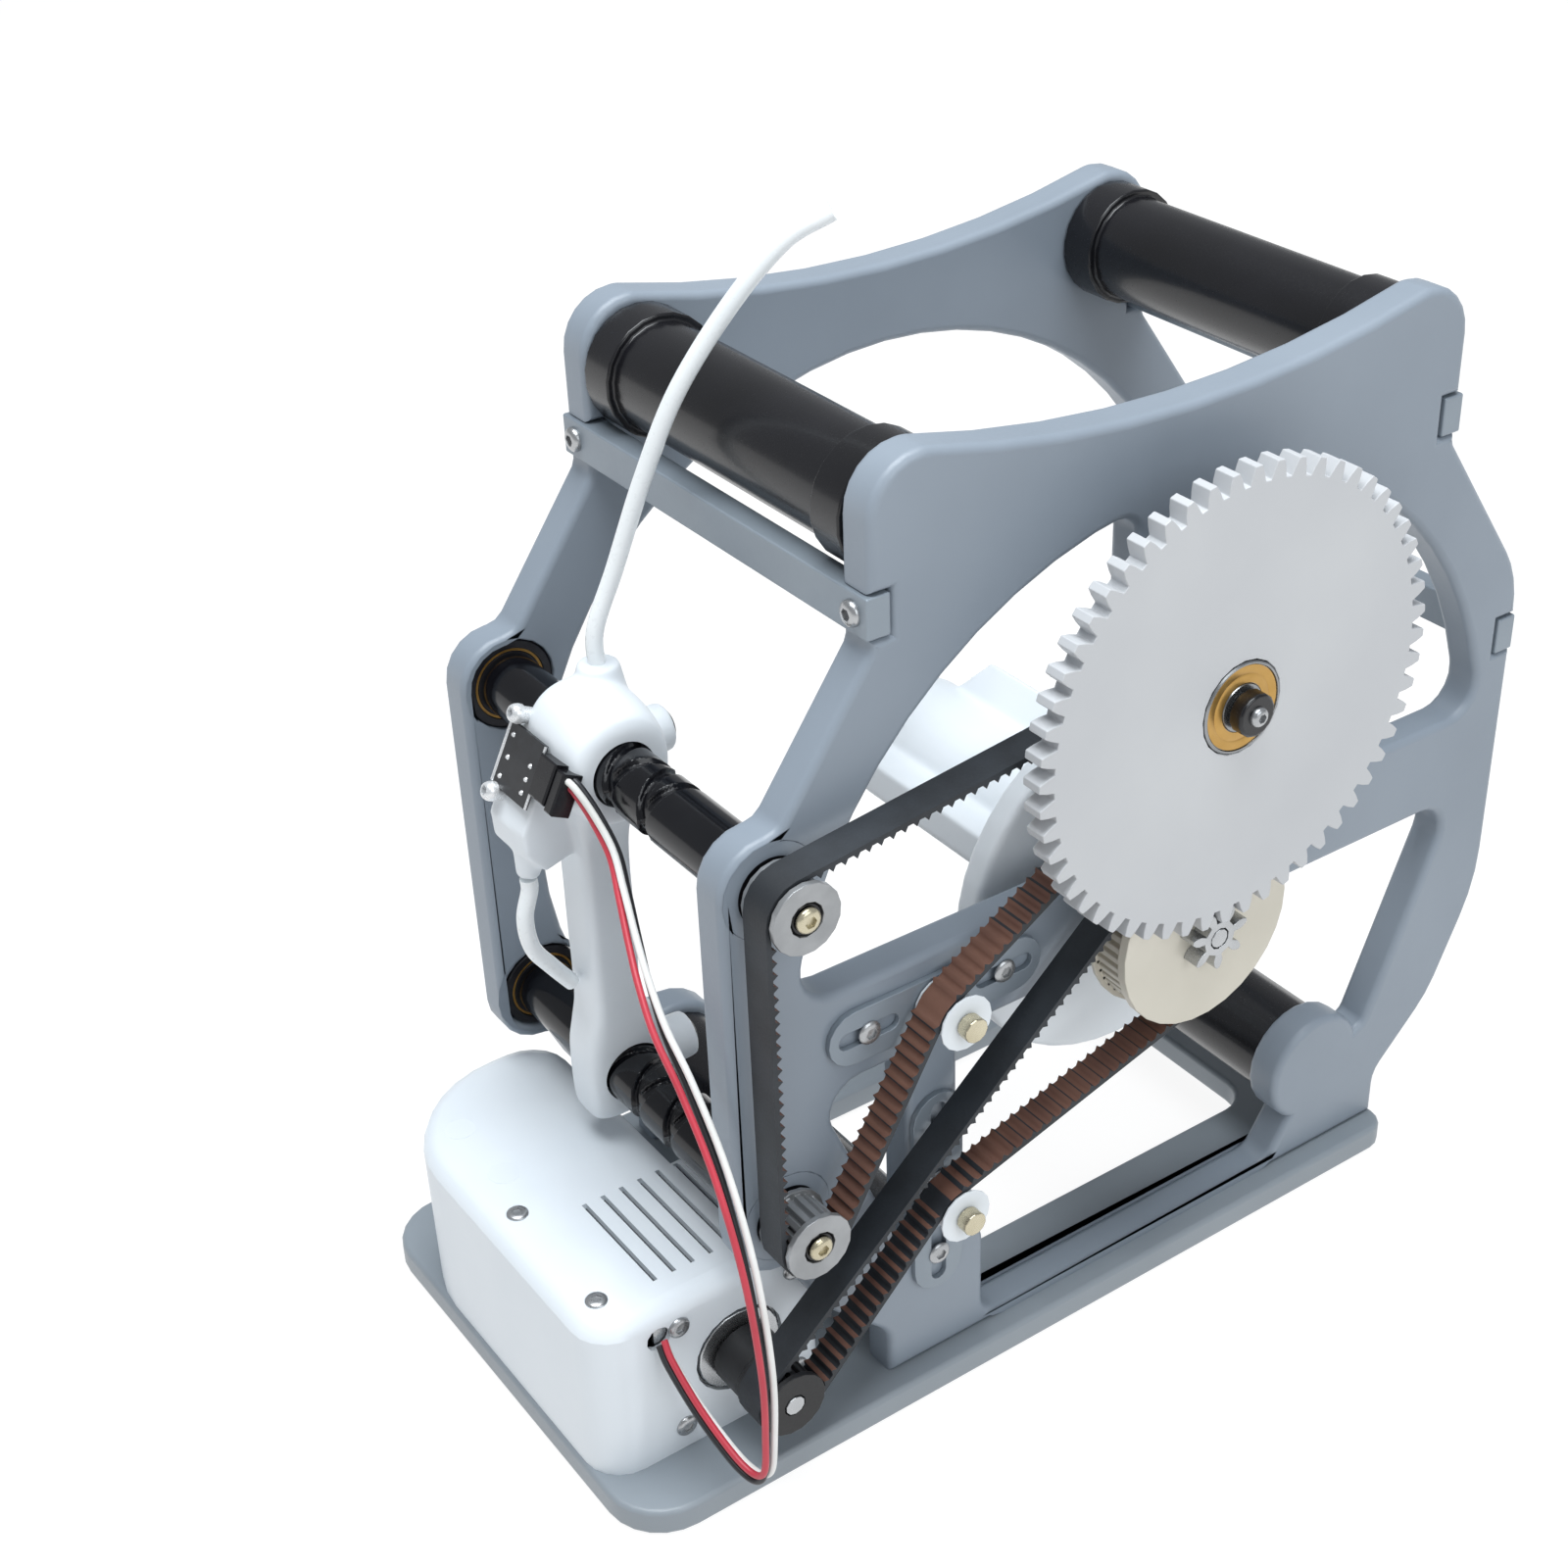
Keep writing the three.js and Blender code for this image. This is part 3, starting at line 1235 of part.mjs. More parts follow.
// White cover over the electronics, with a bay for the motor at the back
function addElectronicsCover() {
  const rim = (inset) => [
    [coverLeftX + inset, coverFrontY + inset, coverLeftFillet - inset],
    [coverRightX - inset, coverFrontY + inset, coverRightFillet - inset],
    [coverRightX - inset, coverBackY - inset, bayFillet - inset],
    [coverLeftX + inset, coverBackY - inset, coverBackFillet - inset],
  ];
  const bay = (inset, fillet) => rectangle(
    bayLeftX + inset, coverRightX - inset, bayFrontY, bayBackY - inset, fillet);
  const outside = join(
    roundedTop(rim(0), baseTopZ, coverTopZ, coverEdge),
    roundedTop(bay(0, bayFillet), baseTopZ, coverTopZ, coverEdge),
  );
  const ceiling = coverTopZ - coverWall;
  const inside = join(
    alongZ(shapeOf(rim(coverWall)), baseTopZ - overrun, ceiling),
    alongZ(shapeOf(bay(coverWall, 0)), baseTopZ - overrun, ceiling),
  );
  const vents = [];
  for (let k = 0; k < ventCount; k += 1) {
    const y = ventFirstY + k * ventPitch;
    const y0 = y - ventWidth / 2;
    vents.push(block(ventStartX, ventEndX, y0, y0 + ventWidth, ceiling - overrun, coverTopZ + overrun));
  }
  const wallX = coverRightX - coverWall - overrun;
  const outX = coverRightX + overrun;
  const holes = [
    rodX(coverMotorHoleRadius, wallX, outX, motorY, motorZ),
    rodX(cableHoleRadius, wallX, outX, cableHoleY, cableHoleZ),
  ];
  piece('electronics_cover', cut(outside, inside, ...vents, ...holes), coverWhite, 0.4, 0);
}

// Control board on four posts under the cover
function addControlBoard() {
  const rim = rectangle(boardLeftX, boardRightX, boardFrontY, boardBackY, boardFillet);
  const posts = [boardLeftX + boardPostInset, boardRightX - boardPostInset].flatMap((x) => (
    [boardFrontY + boardPostInset, boardBackY - boardPostInset].map((y) => (
      rodZ(boardPostRadius, baseTopZ, boardZ + boardThickness / 2, x, y)))));
  const board = join(alongZ(shapeOf(rim), boardZ, boardZ + boardThickness), ...posts);
  piece('control_board', board, boardGreen, 0.5, 0);
}

// Carriage: guide block on the upper screw, arm, and block on the lower screw
function addCarriage() {
  const guideCorners = [
    [guideBackY, guideBackBottomZ, guideBackFillet],
    [guideBackY, guideBackTopZ, guideBackFillet],
    [guideCrownBackY, guideCrownZ, guideFillet],
    [guideCrownFrontY, guideCrownZ, guideFillet],
    [boardFaceTopY, boardFaceTopZ, guideSharpFillet],
    [boardFaceBottomY, boardFaceBottomZ, guideSharpFillet],
    [guideLipY, guideLipTopZ, guideSharpFillet],
    [guideLipY, guideLipBottomZ, guideFillet],
    [guideChinY, guideChinZ, guideFillet],
    [armBackY, guideChinZ, guideFillet],
  ];
  const guide = alongX(shapeOf(guideCorners), carriageLeftX, carriageRightX)
    .translate([0, screwY, upperScrewZ]);
  const armCorners = rectangle(armLeftX, armRightX, armFrontY, armBackY, armFillet);
  const arm = alongZ(shapeOf(armCorners), lowerScrewZ + armBottomZ, upperScrewZ + armTopZ)
    .translate([0, screwY, 0]);
  const lowerCorners = rectangle(
    lowerBlockFrontY, guideBackY, lowerBlockBottomZ, lowerBlockTopZ, lowerBlockFillet);
  const lower = alongX(shapeOf(lowerCorners), carriageLeftX, carriageRightX)
    .translate([0, screwY, lowerScrewZ]);
  const screwBores = [upperScrewZ, lowerScrewZ].map((z) => (
    rodX(screwRadius + seatGap, carriageLeftX - overrun, carriageRightX + overrun, screwY, z)));
  const bossY = screwY + guideBackY - overrun;
  const bosses = [upperScrewZ, lowerScrewZ].map((z) => (
    rodY(followerBossRadius, bossY, screwY + followerBossEndY, followerX, z)));
  const socketFootZ = upperScrewZ + guideCrownZ - socketDepth;
  const socket = rodZ(socketRadius, socketFootZ, socketTopZ, socketX, socketY);
  const nozzle = turnedZ([
    [nozzleTipZ, nozzleTipRadius],
    [nozzleTopZ, nozzleTopRadius],
  ], nozzleX, nozzleY);
  const tubeHole = rodZ(
    guideTubeRadius + seatGap, socketTopZ - socketDepth, socketTopZ + overrun, socketX, socketY);
  const made = cut(join(guide, arm, lower, ...bosses, socket, nozzle), ...screwBores, tubeHole);
  piece('carriage', made, plasticWhite, 0.5, 0);
}

// Sensor board and plug, laid out flat and then tilted onto the carriage's front face
function addSensor() {
  const slope = new THREE.Vector3(0, boardFaceTopY - boardFaceBottomY, boardFaceTopZ - boardFaceBottomZ);
  const up = slope.clone().normalize();
  const out = axisX.clone().cross(up);
  const foot = new THREE.Vector3(0, screwY + boardFaceBottomY, upperScrewZ + boardFaceBottomZ)
    .addScaledVector(out, seatGap);
  const place = new THREE.Matrix4().makeBasis(axisX, up, out).setPosition(foot);
  const slab = (x0, x1, v0, v1, h0, h1) => {
    const geometry = new THREE.BoxGeometry(x1 - x0, v1 - v0, h1 - h0);
    geometry.translate((x0 + x1) / 2, (v0 + v1) / 2, (h0 + h1) / 2);
    return solid(geometry.applyMatrix4(place));
  };
  const board = slab(sensorLeftX, sensorRightX, 0, sensorLength, 0, sensorThickness);
  piece('sensor_board', board, boardBlue, 0.4, 0);
  const plugLow = (sensorLength - sensorPlugLength) / 2;
  const plug = slab(
    sensorPlugLeftX, sensorPlugRightX, plugLow, plugLow + sensorPlugLength, 0, sensorPlugHeight);
  piece('sensor_connector', plug, plugBlack, 0.45, 0);
}

// Tube or cable along a run of points
function cord(points, radius) {
  const path = new THREE.CatmullRomCurve3(points.map((p) => new THREE.Vector3(...p)), false, 'centripetal');
  const steps = Math.ceil(path.getLength() / (cordStepDiameters * 2 * radius));
  return solid(new THREE.ExtrudeGeometry(sectionShape(radius, cordSides), { steps, extrudePath: path }));
}

function addCords() {
  const [feed, loop, cable] = cordNames;
  piece(feed, cord(feedTubePoints, guideTubeRadius), tubeWhite, 0.35, 0);
  piece(loop, cord(loopTubePoints, guideTubeRadius), tubeWhite, 0.35, 0);
  piece(cable, cord(sensorCablePoints, cableRadius), cableRed, 0.55, 0);
}

addBasePlate();
addDriveSidePlate();
addPlainSidePlate();
addCrossbars();
addRollers();
addSpacerTubes();
addBearings();
addTraverseScrews();
addGear();
addGearStud();
addSpoolHub();
addSpoolDrive();
addTensioners();
addBelts();
addMotor();
addElectronicsCover();
addControlBoard();
addCarriage();
addSensor();
addCords();

// Origin at the bottom centre of the rigid pieces' box
const rigid = new THREE.Box3();
machine.children
  .filter((mesh) => !cordNames.includes(mesh.name))
  .forEach((mesh) => rigid.expandByObject(mesh));
const middle = rigid.getCenter(new THREE.Vector3());
machine.position.set(-middle.x, -middle.y, -rigid.min.z);

const rewinder = new THREE.Group();
rewinder.add(machine);

export default rewinder;
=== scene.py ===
import math

import bmesh
import bpy
import numpy as np
from mathutils import Matrix, Vector


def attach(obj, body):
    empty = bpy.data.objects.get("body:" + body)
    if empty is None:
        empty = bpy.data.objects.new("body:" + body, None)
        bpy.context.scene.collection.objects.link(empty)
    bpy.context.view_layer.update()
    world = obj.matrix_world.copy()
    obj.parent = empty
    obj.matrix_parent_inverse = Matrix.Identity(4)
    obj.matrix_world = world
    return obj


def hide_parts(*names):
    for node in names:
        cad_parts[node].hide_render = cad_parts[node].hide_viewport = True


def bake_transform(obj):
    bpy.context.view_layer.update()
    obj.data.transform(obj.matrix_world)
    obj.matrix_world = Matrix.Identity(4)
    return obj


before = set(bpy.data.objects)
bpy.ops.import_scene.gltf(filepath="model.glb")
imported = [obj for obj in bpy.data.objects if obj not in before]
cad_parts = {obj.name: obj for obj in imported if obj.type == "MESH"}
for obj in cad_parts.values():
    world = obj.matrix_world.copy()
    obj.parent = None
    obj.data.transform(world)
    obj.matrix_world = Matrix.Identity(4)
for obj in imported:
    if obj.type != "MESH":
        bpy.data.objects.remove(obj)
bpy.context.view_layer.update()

scene = bpy.context.scene
scene.view_settings.view_transform = "Standard"

# Camera at the photograph's viewing angle: a moderately long lens above the belt side, looking
# down at the machine's front corner. The rows are its right, down and forward directions.


def added(name, data):
    """New object with that name and data, linked to the scene."""
    made = bpy.data.objects.new(name, data)
    scene.collection.objects.link(made)
    return made


right = np.array((0.59462633, 0.80390675, -0.01238764))
down = np.array((0.42376674, -0.32646705, -0.84489112))
forward = np.array((-0.68325784, 0.49714504, -0.53479485))
camera_place = (0.3869, -0.30285, 0.4285)
camera = added("camera", bpy.data.cameras.new("camera"))
camera.data.lens = 54.84
camera.data.sensor_width = 36.0
camera.data.shift_x = -0.0714
camera.data.shift_y = 0.0214
camera.data.clip_start = 0.01
turn = Matrix([[right[i], -down[i], -forward[i]] for i in range(3)])
camera.matrix_world = Matrix.Translation(camera_place) @ turn.to_4x4()
scene.camera = camera

# Soft studio light: an even pale surround, a broad lamp overhead and a weak one from the belt
# side. The camera sees a white background, also through anything clear.
world = bpy.data.worlds.new("studio")
world.use_nodes = True
scene.world = world
nodes, links = world.node_tree.nodes, world.node_tree.links
surround = nodes["Background"]
surround.inputs["Color"].default_value = (0.93, 0.96, 1.0, 1.0)
surround.inputs["Strength"].default_value = 0.36
backdrop = nodes.new("ShaderNodeBackground")
backdrop.inputs["Color"].default_value = (1.0, 1.0, 1.0, 1.0)
backdrop.inputs["Strength"].default_value = 1.0
ray = nodes.new("ShaderNodeLightPath")
seen = nodes.new("ShaderNodeMath")
seen.operation = "MAXIMUM"
links.new(ray.outputs["Is Camera Ray"], seen.inputs[0])
links.new(ray.outputs["Is Transmission Ray"], seen.inputs[1])
choice = nodes.new("ShaderNodeMixShader")
links.new(seen.outputs[0], choice.inputs[0])
links.new(surround.outputs[0], choice.inputs[1])
links.new(backdrop.outputs[0], choice.inputs[2])
links.new(choice.outputs[0], nodes["World Output"].inputs["Surface"])


def soft_lamp(name, place, aim, size, power):
    """Square area lamp of side `size` at `place`, turned to face `aim`."""
    lamp = bpy.data.lights.new(name, "AREA")
    lamp.shape = "SQUARE"
    lamp.size = size
    lamp.energy = power
    lamp.color = (0.93, 0.97, 1.0)
    away = Vector(place) - Vector(aim)
    facing = away.to_track_quat("Z", "Y").to_matrix().to_4x4()
    added(name, lamp).matrix_world = Matrix.Translation(place) @ facing


soft_lamp("overhead_lamp", place=(0.05, -0.16, 1.5), aim=(0, 0, 0.1), size=1.0, power=27)
soft_lamp("side_lamp", place=(1.3, 0.1, 0.9), aim=(0, 0, 0.12), size=0.9, power=6.6)

# Floor: a wide, dull, pale sheet just under the base plate. It is bright enough by itself to look
# white, and still takes the machine's shadow.
floor_half, floor_drop = 25, 0.0002
floor_corners = [(x * floor_half, y * floor_half, 0) for x, y in ((-1, -1), (1, -1), (1, 1), (-1, 1))]
floor_mesh = bpy.data.meshes.new("floor")
floor_mesh.from_pydata(floor_corners, [], [(0, 1, 2, 3)])
floor = added("floor", floor_mesh)
floor.location.z = -floor_drop
floor_white = bpy.data.materials.new("floor_white")
floor_white.use_nodes = True
floor_shader = floor_white.node_tree.nodes["Principled BSDF"]
floor_shader.inputs["Base Color"].default_value = (0.16, 0.16, 0.16, 1)
floor_shader.inputs["Roughness"].default_value = 0.9
floor_shader.inputs["Emission Color"].default_value = (1.0, 1.0, 1.0, 1)
floor_shader.inputs["Emission Strength"].default_value = 0.9
floor_shader.inputs["Specular IOR Level"].default_value = 0.0
floor_mesh.materials.append(floor_white)


def linear(hexed):
    """Colour as written on screen, six hexadecimal digits, to the shader's linear values."""
    parts = np.array([int(hexed[i:i + 2], 16) / 255 for i in (0, 2, 4)])
    low = parts / 12.92
    high = ((parts + 0.055) / 1.055) ** 2.4
    return (*np.where(parts <= 0.04045, low, high).tolist(), 1.0)


def finish(name, colour, second, patch, rough, metal, grain, relief, coat=0.0):
    """Finish that drifts between two near colours in patches, with a fine surface grain.

    patch and grain are how often the drift and the grain repeat in a metre; relief is the grain's
    height in metres, and rough the middle of a narrow band of roughness.
    """
    made = bpy.data.materials.new(name)
    made.use_nodes = True
    tree, wire = made.node_tree.nodes, made.node_tree.links
    shader = tree["Principled BSDF"]
    shader.inputs["Metallic"].default_value = metal
    shader.inputs["Coat Weight"].default_value = coat
    place = tree.new("ShaderNodeTexCoord")
    drift = tree.new("ShaderNodeTexNoise")
    drift.inputs["Scale"].default_value = patch
    drift.inputs["Detail"].default_value = 4.0
    wire.new(place.outputs["Object"], drift.inputs["Vector"])
    blend = tree.new("ShaderNodeValToRGB")
    blend.color_ramp.elements[0].position = 0.35
    blend.color_ramp.elements[0].color = linear(colour)
    blend.color_ramp.elements[1].position = 0.68
    blend.color_ramp.elements[1].color = linear(second)
    wire.new(drift.outputs["Fac"], blend.inputs["Fac"])
    wire.new(blend.outputs["Color"], shader.inputs["Base Color"])
    fine = tree.new("ShaderNodeTexNoise")
    fine.inputs["Scale"].default_value = grain
    fine.inputs["Detail"].default_value = 3.0
    wire.new(place.outputs["Object"], fine.inputs["Vector"])
    band = tree.new("ShaderNodeMapRange")
    band.inputs["To Min"].default_value = max(0.03, rough - 0.06)
    band.inputs["To Max"].default_value = rough + 0.08
    wire.new(fine.outputs["Fac"], band.inputs["Value"])
    wire.new(band.outputs["Result"], shader.inputs["Roughness"])
    bump = tree.new("ShaderNodeBump")
    bump.inputs["Strength"].default_value = 1.0
    bump.inputs["Distance"].default_value = relief
    wire.new(fine.outputs["Fac"], bump.inputs["Height"])
    wire.new(bump.outputs["Normal"], shader.inputs["Normal"])
    return made


# Guide tubes: two lengths of bare 4 mm slippery plastic tube. The long one rises from the
# carriage's socket and ends free above the front roller; the short one loops to the arm.
tube_radius = 0.002
frame_shift = (-9.5, 20.75, 0)
tube_plastic = finish("tube_plastic", "E9EEF0", "F4F7F8", 40, 0.28, 0.0, 900, 0.00001, 0.2)


def machine(points):
    """Points measured on the machine in millimetres to the shared frame in metres."""
    return (np.asarray(points, float) + frame_shift) / 1000


def smooth_route(points, steps=12):
    """Cubic through the points in which each point's slope is half the step between its neighbours."""
    points = np.asarray(points, float)
    padded = np.concatenate([2 * points[:1] - points[1:2], points, 2 * points[-1:] - points[-2:-1]])
    share = np.linspace(0, 1, steps, endpoint=False)[None, :, None]
    before, here, there, after = (padded[i:len(padded) - 3 + i, None, :] for i in range(4))
    line = 0.5 * (2 * here + (there - before) * share
                  + (2 * before - 5 * here + 4 * there - after) * share ** 2
                  + (3 * here - before - 3 * there + after) * share ** 3)
    return np.concatenate([line.reshape(-1, points.shape[1]), points[-1:]])


def shade(mesh, angle):
    """Smooth shading, in which edges sharper than the angle in degrees stay crisp."""
    mesh.shade_smooth()
    mesh.set_sharp_from_angle(angle=math.radians(angle))


def grid_piece(name, points, skin, body, angle=35):
    """Mesh from points on grids: axes are copy, along and around; around closes on itself.

    Each quad joins neighbours on both axes; points that meet, as at a pole, are merged.
    """
    ids = np.arange(points[..., 0].size).reshape(points.shape[:3])
    next_ids = np.roll(ids, -1, axis=2)
    quads = np.stack([ids[:, :-1], next_ids[:, :-1], next_ids[:, 1:], ids[:, 1:]], axis=-1).reshape(-1, 4)
    mesh = bpy.data.meshes.new(name)
    mesh.from_pydata(points.reshape(-1, 3).tolist(), [], quads.tolist())
    work = bmesh.new()
    work.from_mesh(mesh)
    bmesh.ops.remove_doubles(work, verts=work.verts, dist=1e-7)
    bmesh.ops.recalc_face_normals(work, faces=work.faces)
    work.to_mesh(mesh)
    work.free()
    shade(mesh, angle)
    mesh.materials.append(skin)
    piece = added(name, mesh)
    if body:
        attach(piece, body)
    return piece


def round_cord(name, route, radius, skin, body, sides=16):
    """Circle carried along a route, across its direction, with its ends drawn in to a point.

    The circle's own axes are the sideways and upward directions square to the route.
    """
    heading = np.gradient(route, axis=0)
    heading /= np.linalg.norm(heading, axis=1, keepdims=True)
    side = np.cross(heading, (0.35, 0.93, 0.08))
    side /= np.linalg.norm(side, axis=1, keepdims=True)
    upward = np.cross(side, heading)
    around = np.linspace(0, 2 * np.pi, sides, endpoint=False)[None, :, None]
    rows = np.concatenate([[0], np.arange(len(route)), [len(route) - 1]])
    thick = np.full(len(rows), radius)
    thick[[0, -1]] = 0.0
    grid = (route[rows, None, :] + thick[:, None, None]
            * (np.cos(around) * side[rows, None, :] + np.sin(around) * upward[rows, None, :]))
    return grid_piece(name, grid[None], skin, body, angle=50)


feed_route = smooth_route(machine([
    (-16, -104, 174.3), (-16, -104, 185), (-13.6, -99, 200), (-9, -93.4, 220.3), (-3, -87.2, 240.4),
    (4, -77.4, 259), (10, -67.8, 271.8), (15, -59.5, 277.3)]))
feed_tube = round_cord("feed_tube_piece", feed_route, tube_radius, tube_plastic, "carriage_body")
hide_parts("feed_tube")

loop_route = smooth_route(machine([
    (-14, -127.5, 130.7), (-14, -127.5, 127.5), (-14, -129.4, 120.5), (-14, -128.4, 112),
    (-14, -124, 104.8), (-14, -119.3, 98.2)]))
loop_tube = round_cord("loop_tube_piece", loop_route, tube_radius, tube_plastic, "carriage_body")
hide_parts("loop_tube")

# Sensor cable: three thin insulated wires, red, white and black, lying side by side. It hangs in
# one wide loop from the hole in the cover's belt-side wall to the plug on the carriage.
cable_route = smooth_route(machine([
    (50.6, -138.5, 44.5), (54, -138.3, 40), (63, -136.6, 31), (75, -134.4, 24), (81.2, -132.6, 25),
    (82, -131.6, 36), (81.5, -131, 55), (76.5, -130.6, 79), (66, -129.6, 99), (53, -128.6, 113),
    (43, -128.2, 122), (34, -126.2, 129), (26, -123.6, 134.5), (18, -120.9, 141.2), (12, -119.2, 147.6),
    (7, -120.2, 154.6), (3.6, -122, 160.2), (0.5, -122.9, 162.2)]))
wire_radius = 0.0008
first_lay, lay_turns = 0.217, 0.5
tight_spread, loose_spread = 0.00098, 0.0008
wires = (("red_wire", "C23A4A", "B23342"), ("white_wire", "E8E8E6", "DADAD6"),
         ("black_wire", "1C1C20", "26262A"))
progress = np.linspace(0, 1, len(cable_route))[:, None]
for order, (wire_name, wire_colour, wire_second) in enumerate(wires):
    insulation = finish(f"{wire_name}_insulation", wire_colour, wire_second, 60, 0.4, 0.0, 1500, 0.000008)
    lay_angle = 2 * np.pi * (first_lay - order / 3 + lay_turns * progress)
    spread = tight_spread + loose_spread * np.sin(np.pi * progress) ** 2
    lay = np.concatenate([0.3 * np.sin(lay_angle), np.cos(lay_angle), np.sin(lay_angle)], axis=1) * spread
    wire_route = cable_route + lay
    wire = round_cord(wire_name, wire_route, wire_radius, insulation, None)
    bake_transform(wire)
    if order == 1:
        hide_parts("sensor_cable")

# Base plate: a flat painted metal plate with rounded corners, cut away under the spool. Its edges
# are broken lightly, as on every sawn or printed plate of the machine.
same_point, long_rim = 2e-6, 0.08


def eased(node, body, width, skin, angle=30, steps=3):
    """Copy of a node with its points merged, flat faces joined and sharp edges rounded.

    The rounding is a bevel of the given width in metres along edges sharper than the angle.
    """
    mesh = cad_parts[node].data.copy()
    work = bmesh.new()
    work.from_mesh(mesh)
    bmesh.ops.remove_doubles(work, verts=work.verts, dist=same_point)
    bmesh.ops.dissolve_limit(work, angle_limit=math.radians(0.5), verts=work.verts, edges=work.edges)
    work.to_mesh(mesh)
    work.free()
    shade(mesh, angle)
    mesh.materials.clear()
    mesh.materials.append(skin)
    piece = added(f"{node}_piece", mesh)
    if width:
        edge = piece.modifiers.new("edge", "BEVEL")
        edge.width = width
        edge.segments = steps
        edge.limit_method = "ANGLE"
        edge.angle_limit = math.radians(angle)
        edge.use_clamp_overlap = False
        edge.harden_normals = True
    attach(piece, body)
    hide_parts(node)
    return piece


def rounded_slab(node, axis, wide, narrow, skin, body, steps=5):
    """Copy of a flat node with its two faces' rims rounded to quarter circles.

    Each rim point moves inward along the mean of its two edges' inward normals by
    width * (1 - cos t) and stands width * (1 - sin t) under the face, for t from 0 to 90 degrees.
    Rims no longer than long_rim, such as bearing seats, take the narrow width.
    """
    work = bmesh.new()
    work.from_mesh(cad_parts[node].data)
    bmesh.ops.remove_doubles(work, verts=work.verts, dist=same_point)
    bmesh.ops.triangulate(work, faces=work.faces)
    plain = bpy.data.meshes.new(node)
    work.to_mesh(plain)
    work.free()
    points = np.empty(len(plain.vertices) * 3)
    plain.vertices.foreach_get("co", points)
    points = points.reshape(-1, 3)
    corners = np.empty(len(plain.loops), int)
    plain.loops.foreach_get("vertex_index", corners)
    faces = corners.reshape(-1, 3)
    across, upward = (axis + 1) % 3, (axis + 2) % 3
    new_faces = []
    for sign in (1, -1):
        level = sign * (sign * points[:, axis]).max()
        flat = (np.abs(points[faces, axis] - level) < 1e-6).all(axis=1)
        edges = np.concatenate([faces[flat][:, [0, 1]], faces[flat][:, [1, 2]], faces[flat][:, [2, 0]]])
        keys = edges[:, 0] * len(points) + edges[:, 1]
        rim = edges[~np.isin(keys, edges[:, 1] * len(points) + edges[:, 0])]
        follower = np.arange(len(points))
        follower[rim[:, 0]] = rim[:, 1]
        heading = (points[rim[:, 1]] - points[rim[:, 0]])[:, [across, upward]]
        length = np.linalg.norm(heading, axis=1)
        inward = sign * np.stack([-heading[:, 1], heading[:, 0]], axis=1) / length[:, None]
        normal = np.zeros((len(points), 2, 2))
        normal[rim[:, 0], 0] = inward
        normal[rim[:, 1], 1] = inward
        meet = 1 + (normal[:, 0] * normal[:, 1]).sum(axis=1)
        lean = (normal[:, 0] + normal[:, 1]) / np.maximum(meet, 0.5)[:, None]
        label, jump = np.arange(len(points)), follower
        # Every point of one rim ends with the same label, because each pass reaches twice as far.
        for _ in range(14):
            label = np.minimum(label, label[jump])
            jump = jump[jump]
        rim_length = np.bincount(label[rim[:, 0]], weights=length, minlength=len(points))
        width = np.where(rim_length[label] > long_rim, wide, narrow)
        owners = np.unique(rim)
        base = points[owners].copy()
        ring_ids = [owners]
        for step in range(1, steps + 1):
            angle = np.pi / 2 * step / steps
            ring = base.copy()
            ring[:, [across, upward]] += lean[owners] * (width[owners] * (1 - math.cos(angle)))[:, None]
            ring[:, axis] -= sign * width[owners] * (1 - math.sin(angle))
            ring_ids.append(np.arange(len(points), len(points) + len(owners)))
            points = np.concatenate([points, ring])
        points[owners, axis] -= sign * width[owners]
        place = np.zeros(len(points), int)
        place[owners] = np.arange(len(owners))
        start, end = place[rim[:, 0]], place[rim[:, 1]]
        new_faces += [np.stack([low[start], low[end], high[end], high[start]], axis=1)
                      for low, high in zip(ring_ids[:-1], ring_ids[1:])]
        outline = bpy.data.meshes.new(node)
        outline.from_pydata(points[ring_ids[-1]].tolist(), np.stack([start, end], axis=1).tolist(), [])
        work = bmesh.new()
        work.from_mesh(outline)
        facing = [sign * (i == axis) for i in range(3)]
        bmesh.ops.triangle_fill(work, edges=work.edges, use_beauty=True, normal=facing)
        work.to_mesh(outline)
        work.free()
        filled = np.empty(len(outline.loops), int)
        outline.loops.foreach_get("vertex_index", filled)
        new_faces.append(ring_ids[-1][filled.reshape(-1, 3)])
        faces = faces[~flat]
    mesh = bpy.data.meshes.new(f"{node}_piece")
    new_faces = [face for group in new_faces for face in group.tolist()]
    mesh.from_pydata(points.tolist(), [], faces.tolist() + new_faces)
    work = bmesh.new()
    work.from_mesh(mesh)
    bmesh.ops.recalc_face_normals(work, faces=work.faces)
    work.to_mesh(mesh)
    work.free()
    shade(mesh, 32)
    mesh.materials.append(skin)
    piece = added(f"{node}_piece", mesh)
    even = piece.modifiers.new("even_shading", "WEIGHTED_NORMAL")
    even.keep_sharp = True
    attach(piece, body)
    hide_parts(node)


base_paint = finish("base_paint", "858D94", "8E969D", 18, 0.38, 0.0, 900, 0.000012)
rounded_slab("base_plate", axis=2, wide=0.0014, narrow=0.0005, skin=base_paint, body="frame")

# Side plates: two thick grey plates of the same outline. The far one is open for the spool; the
# near one keeps a web, a spoke and a strut. Their long edges are well rounded.
plate_paint = finish("plate_paint", "828C97", "8B95A0", 14, 0.38, 0.0, 900, 0.000012)
for plate in ("drive_side_plate", "plain_side_plate"):
    rounded_slab(plate, axis=0, wide=0.0020, narrow=0.0004, skin=plate_paint, body="frame")

# Crossbars: flat bars let into the plates' edges, brushed lengthways, held by a screw at each end.
bar_metal = finish("bar_metal", "838D97", "8D97A0", 30, 0.34, 0.2, 1200, 0.00001)
for bar in ("front_top_crossbar", "rear_top_crossbar", "rear_middle_crossbar"):
    eased(bar, "frame", 0.0005, bar_metal)


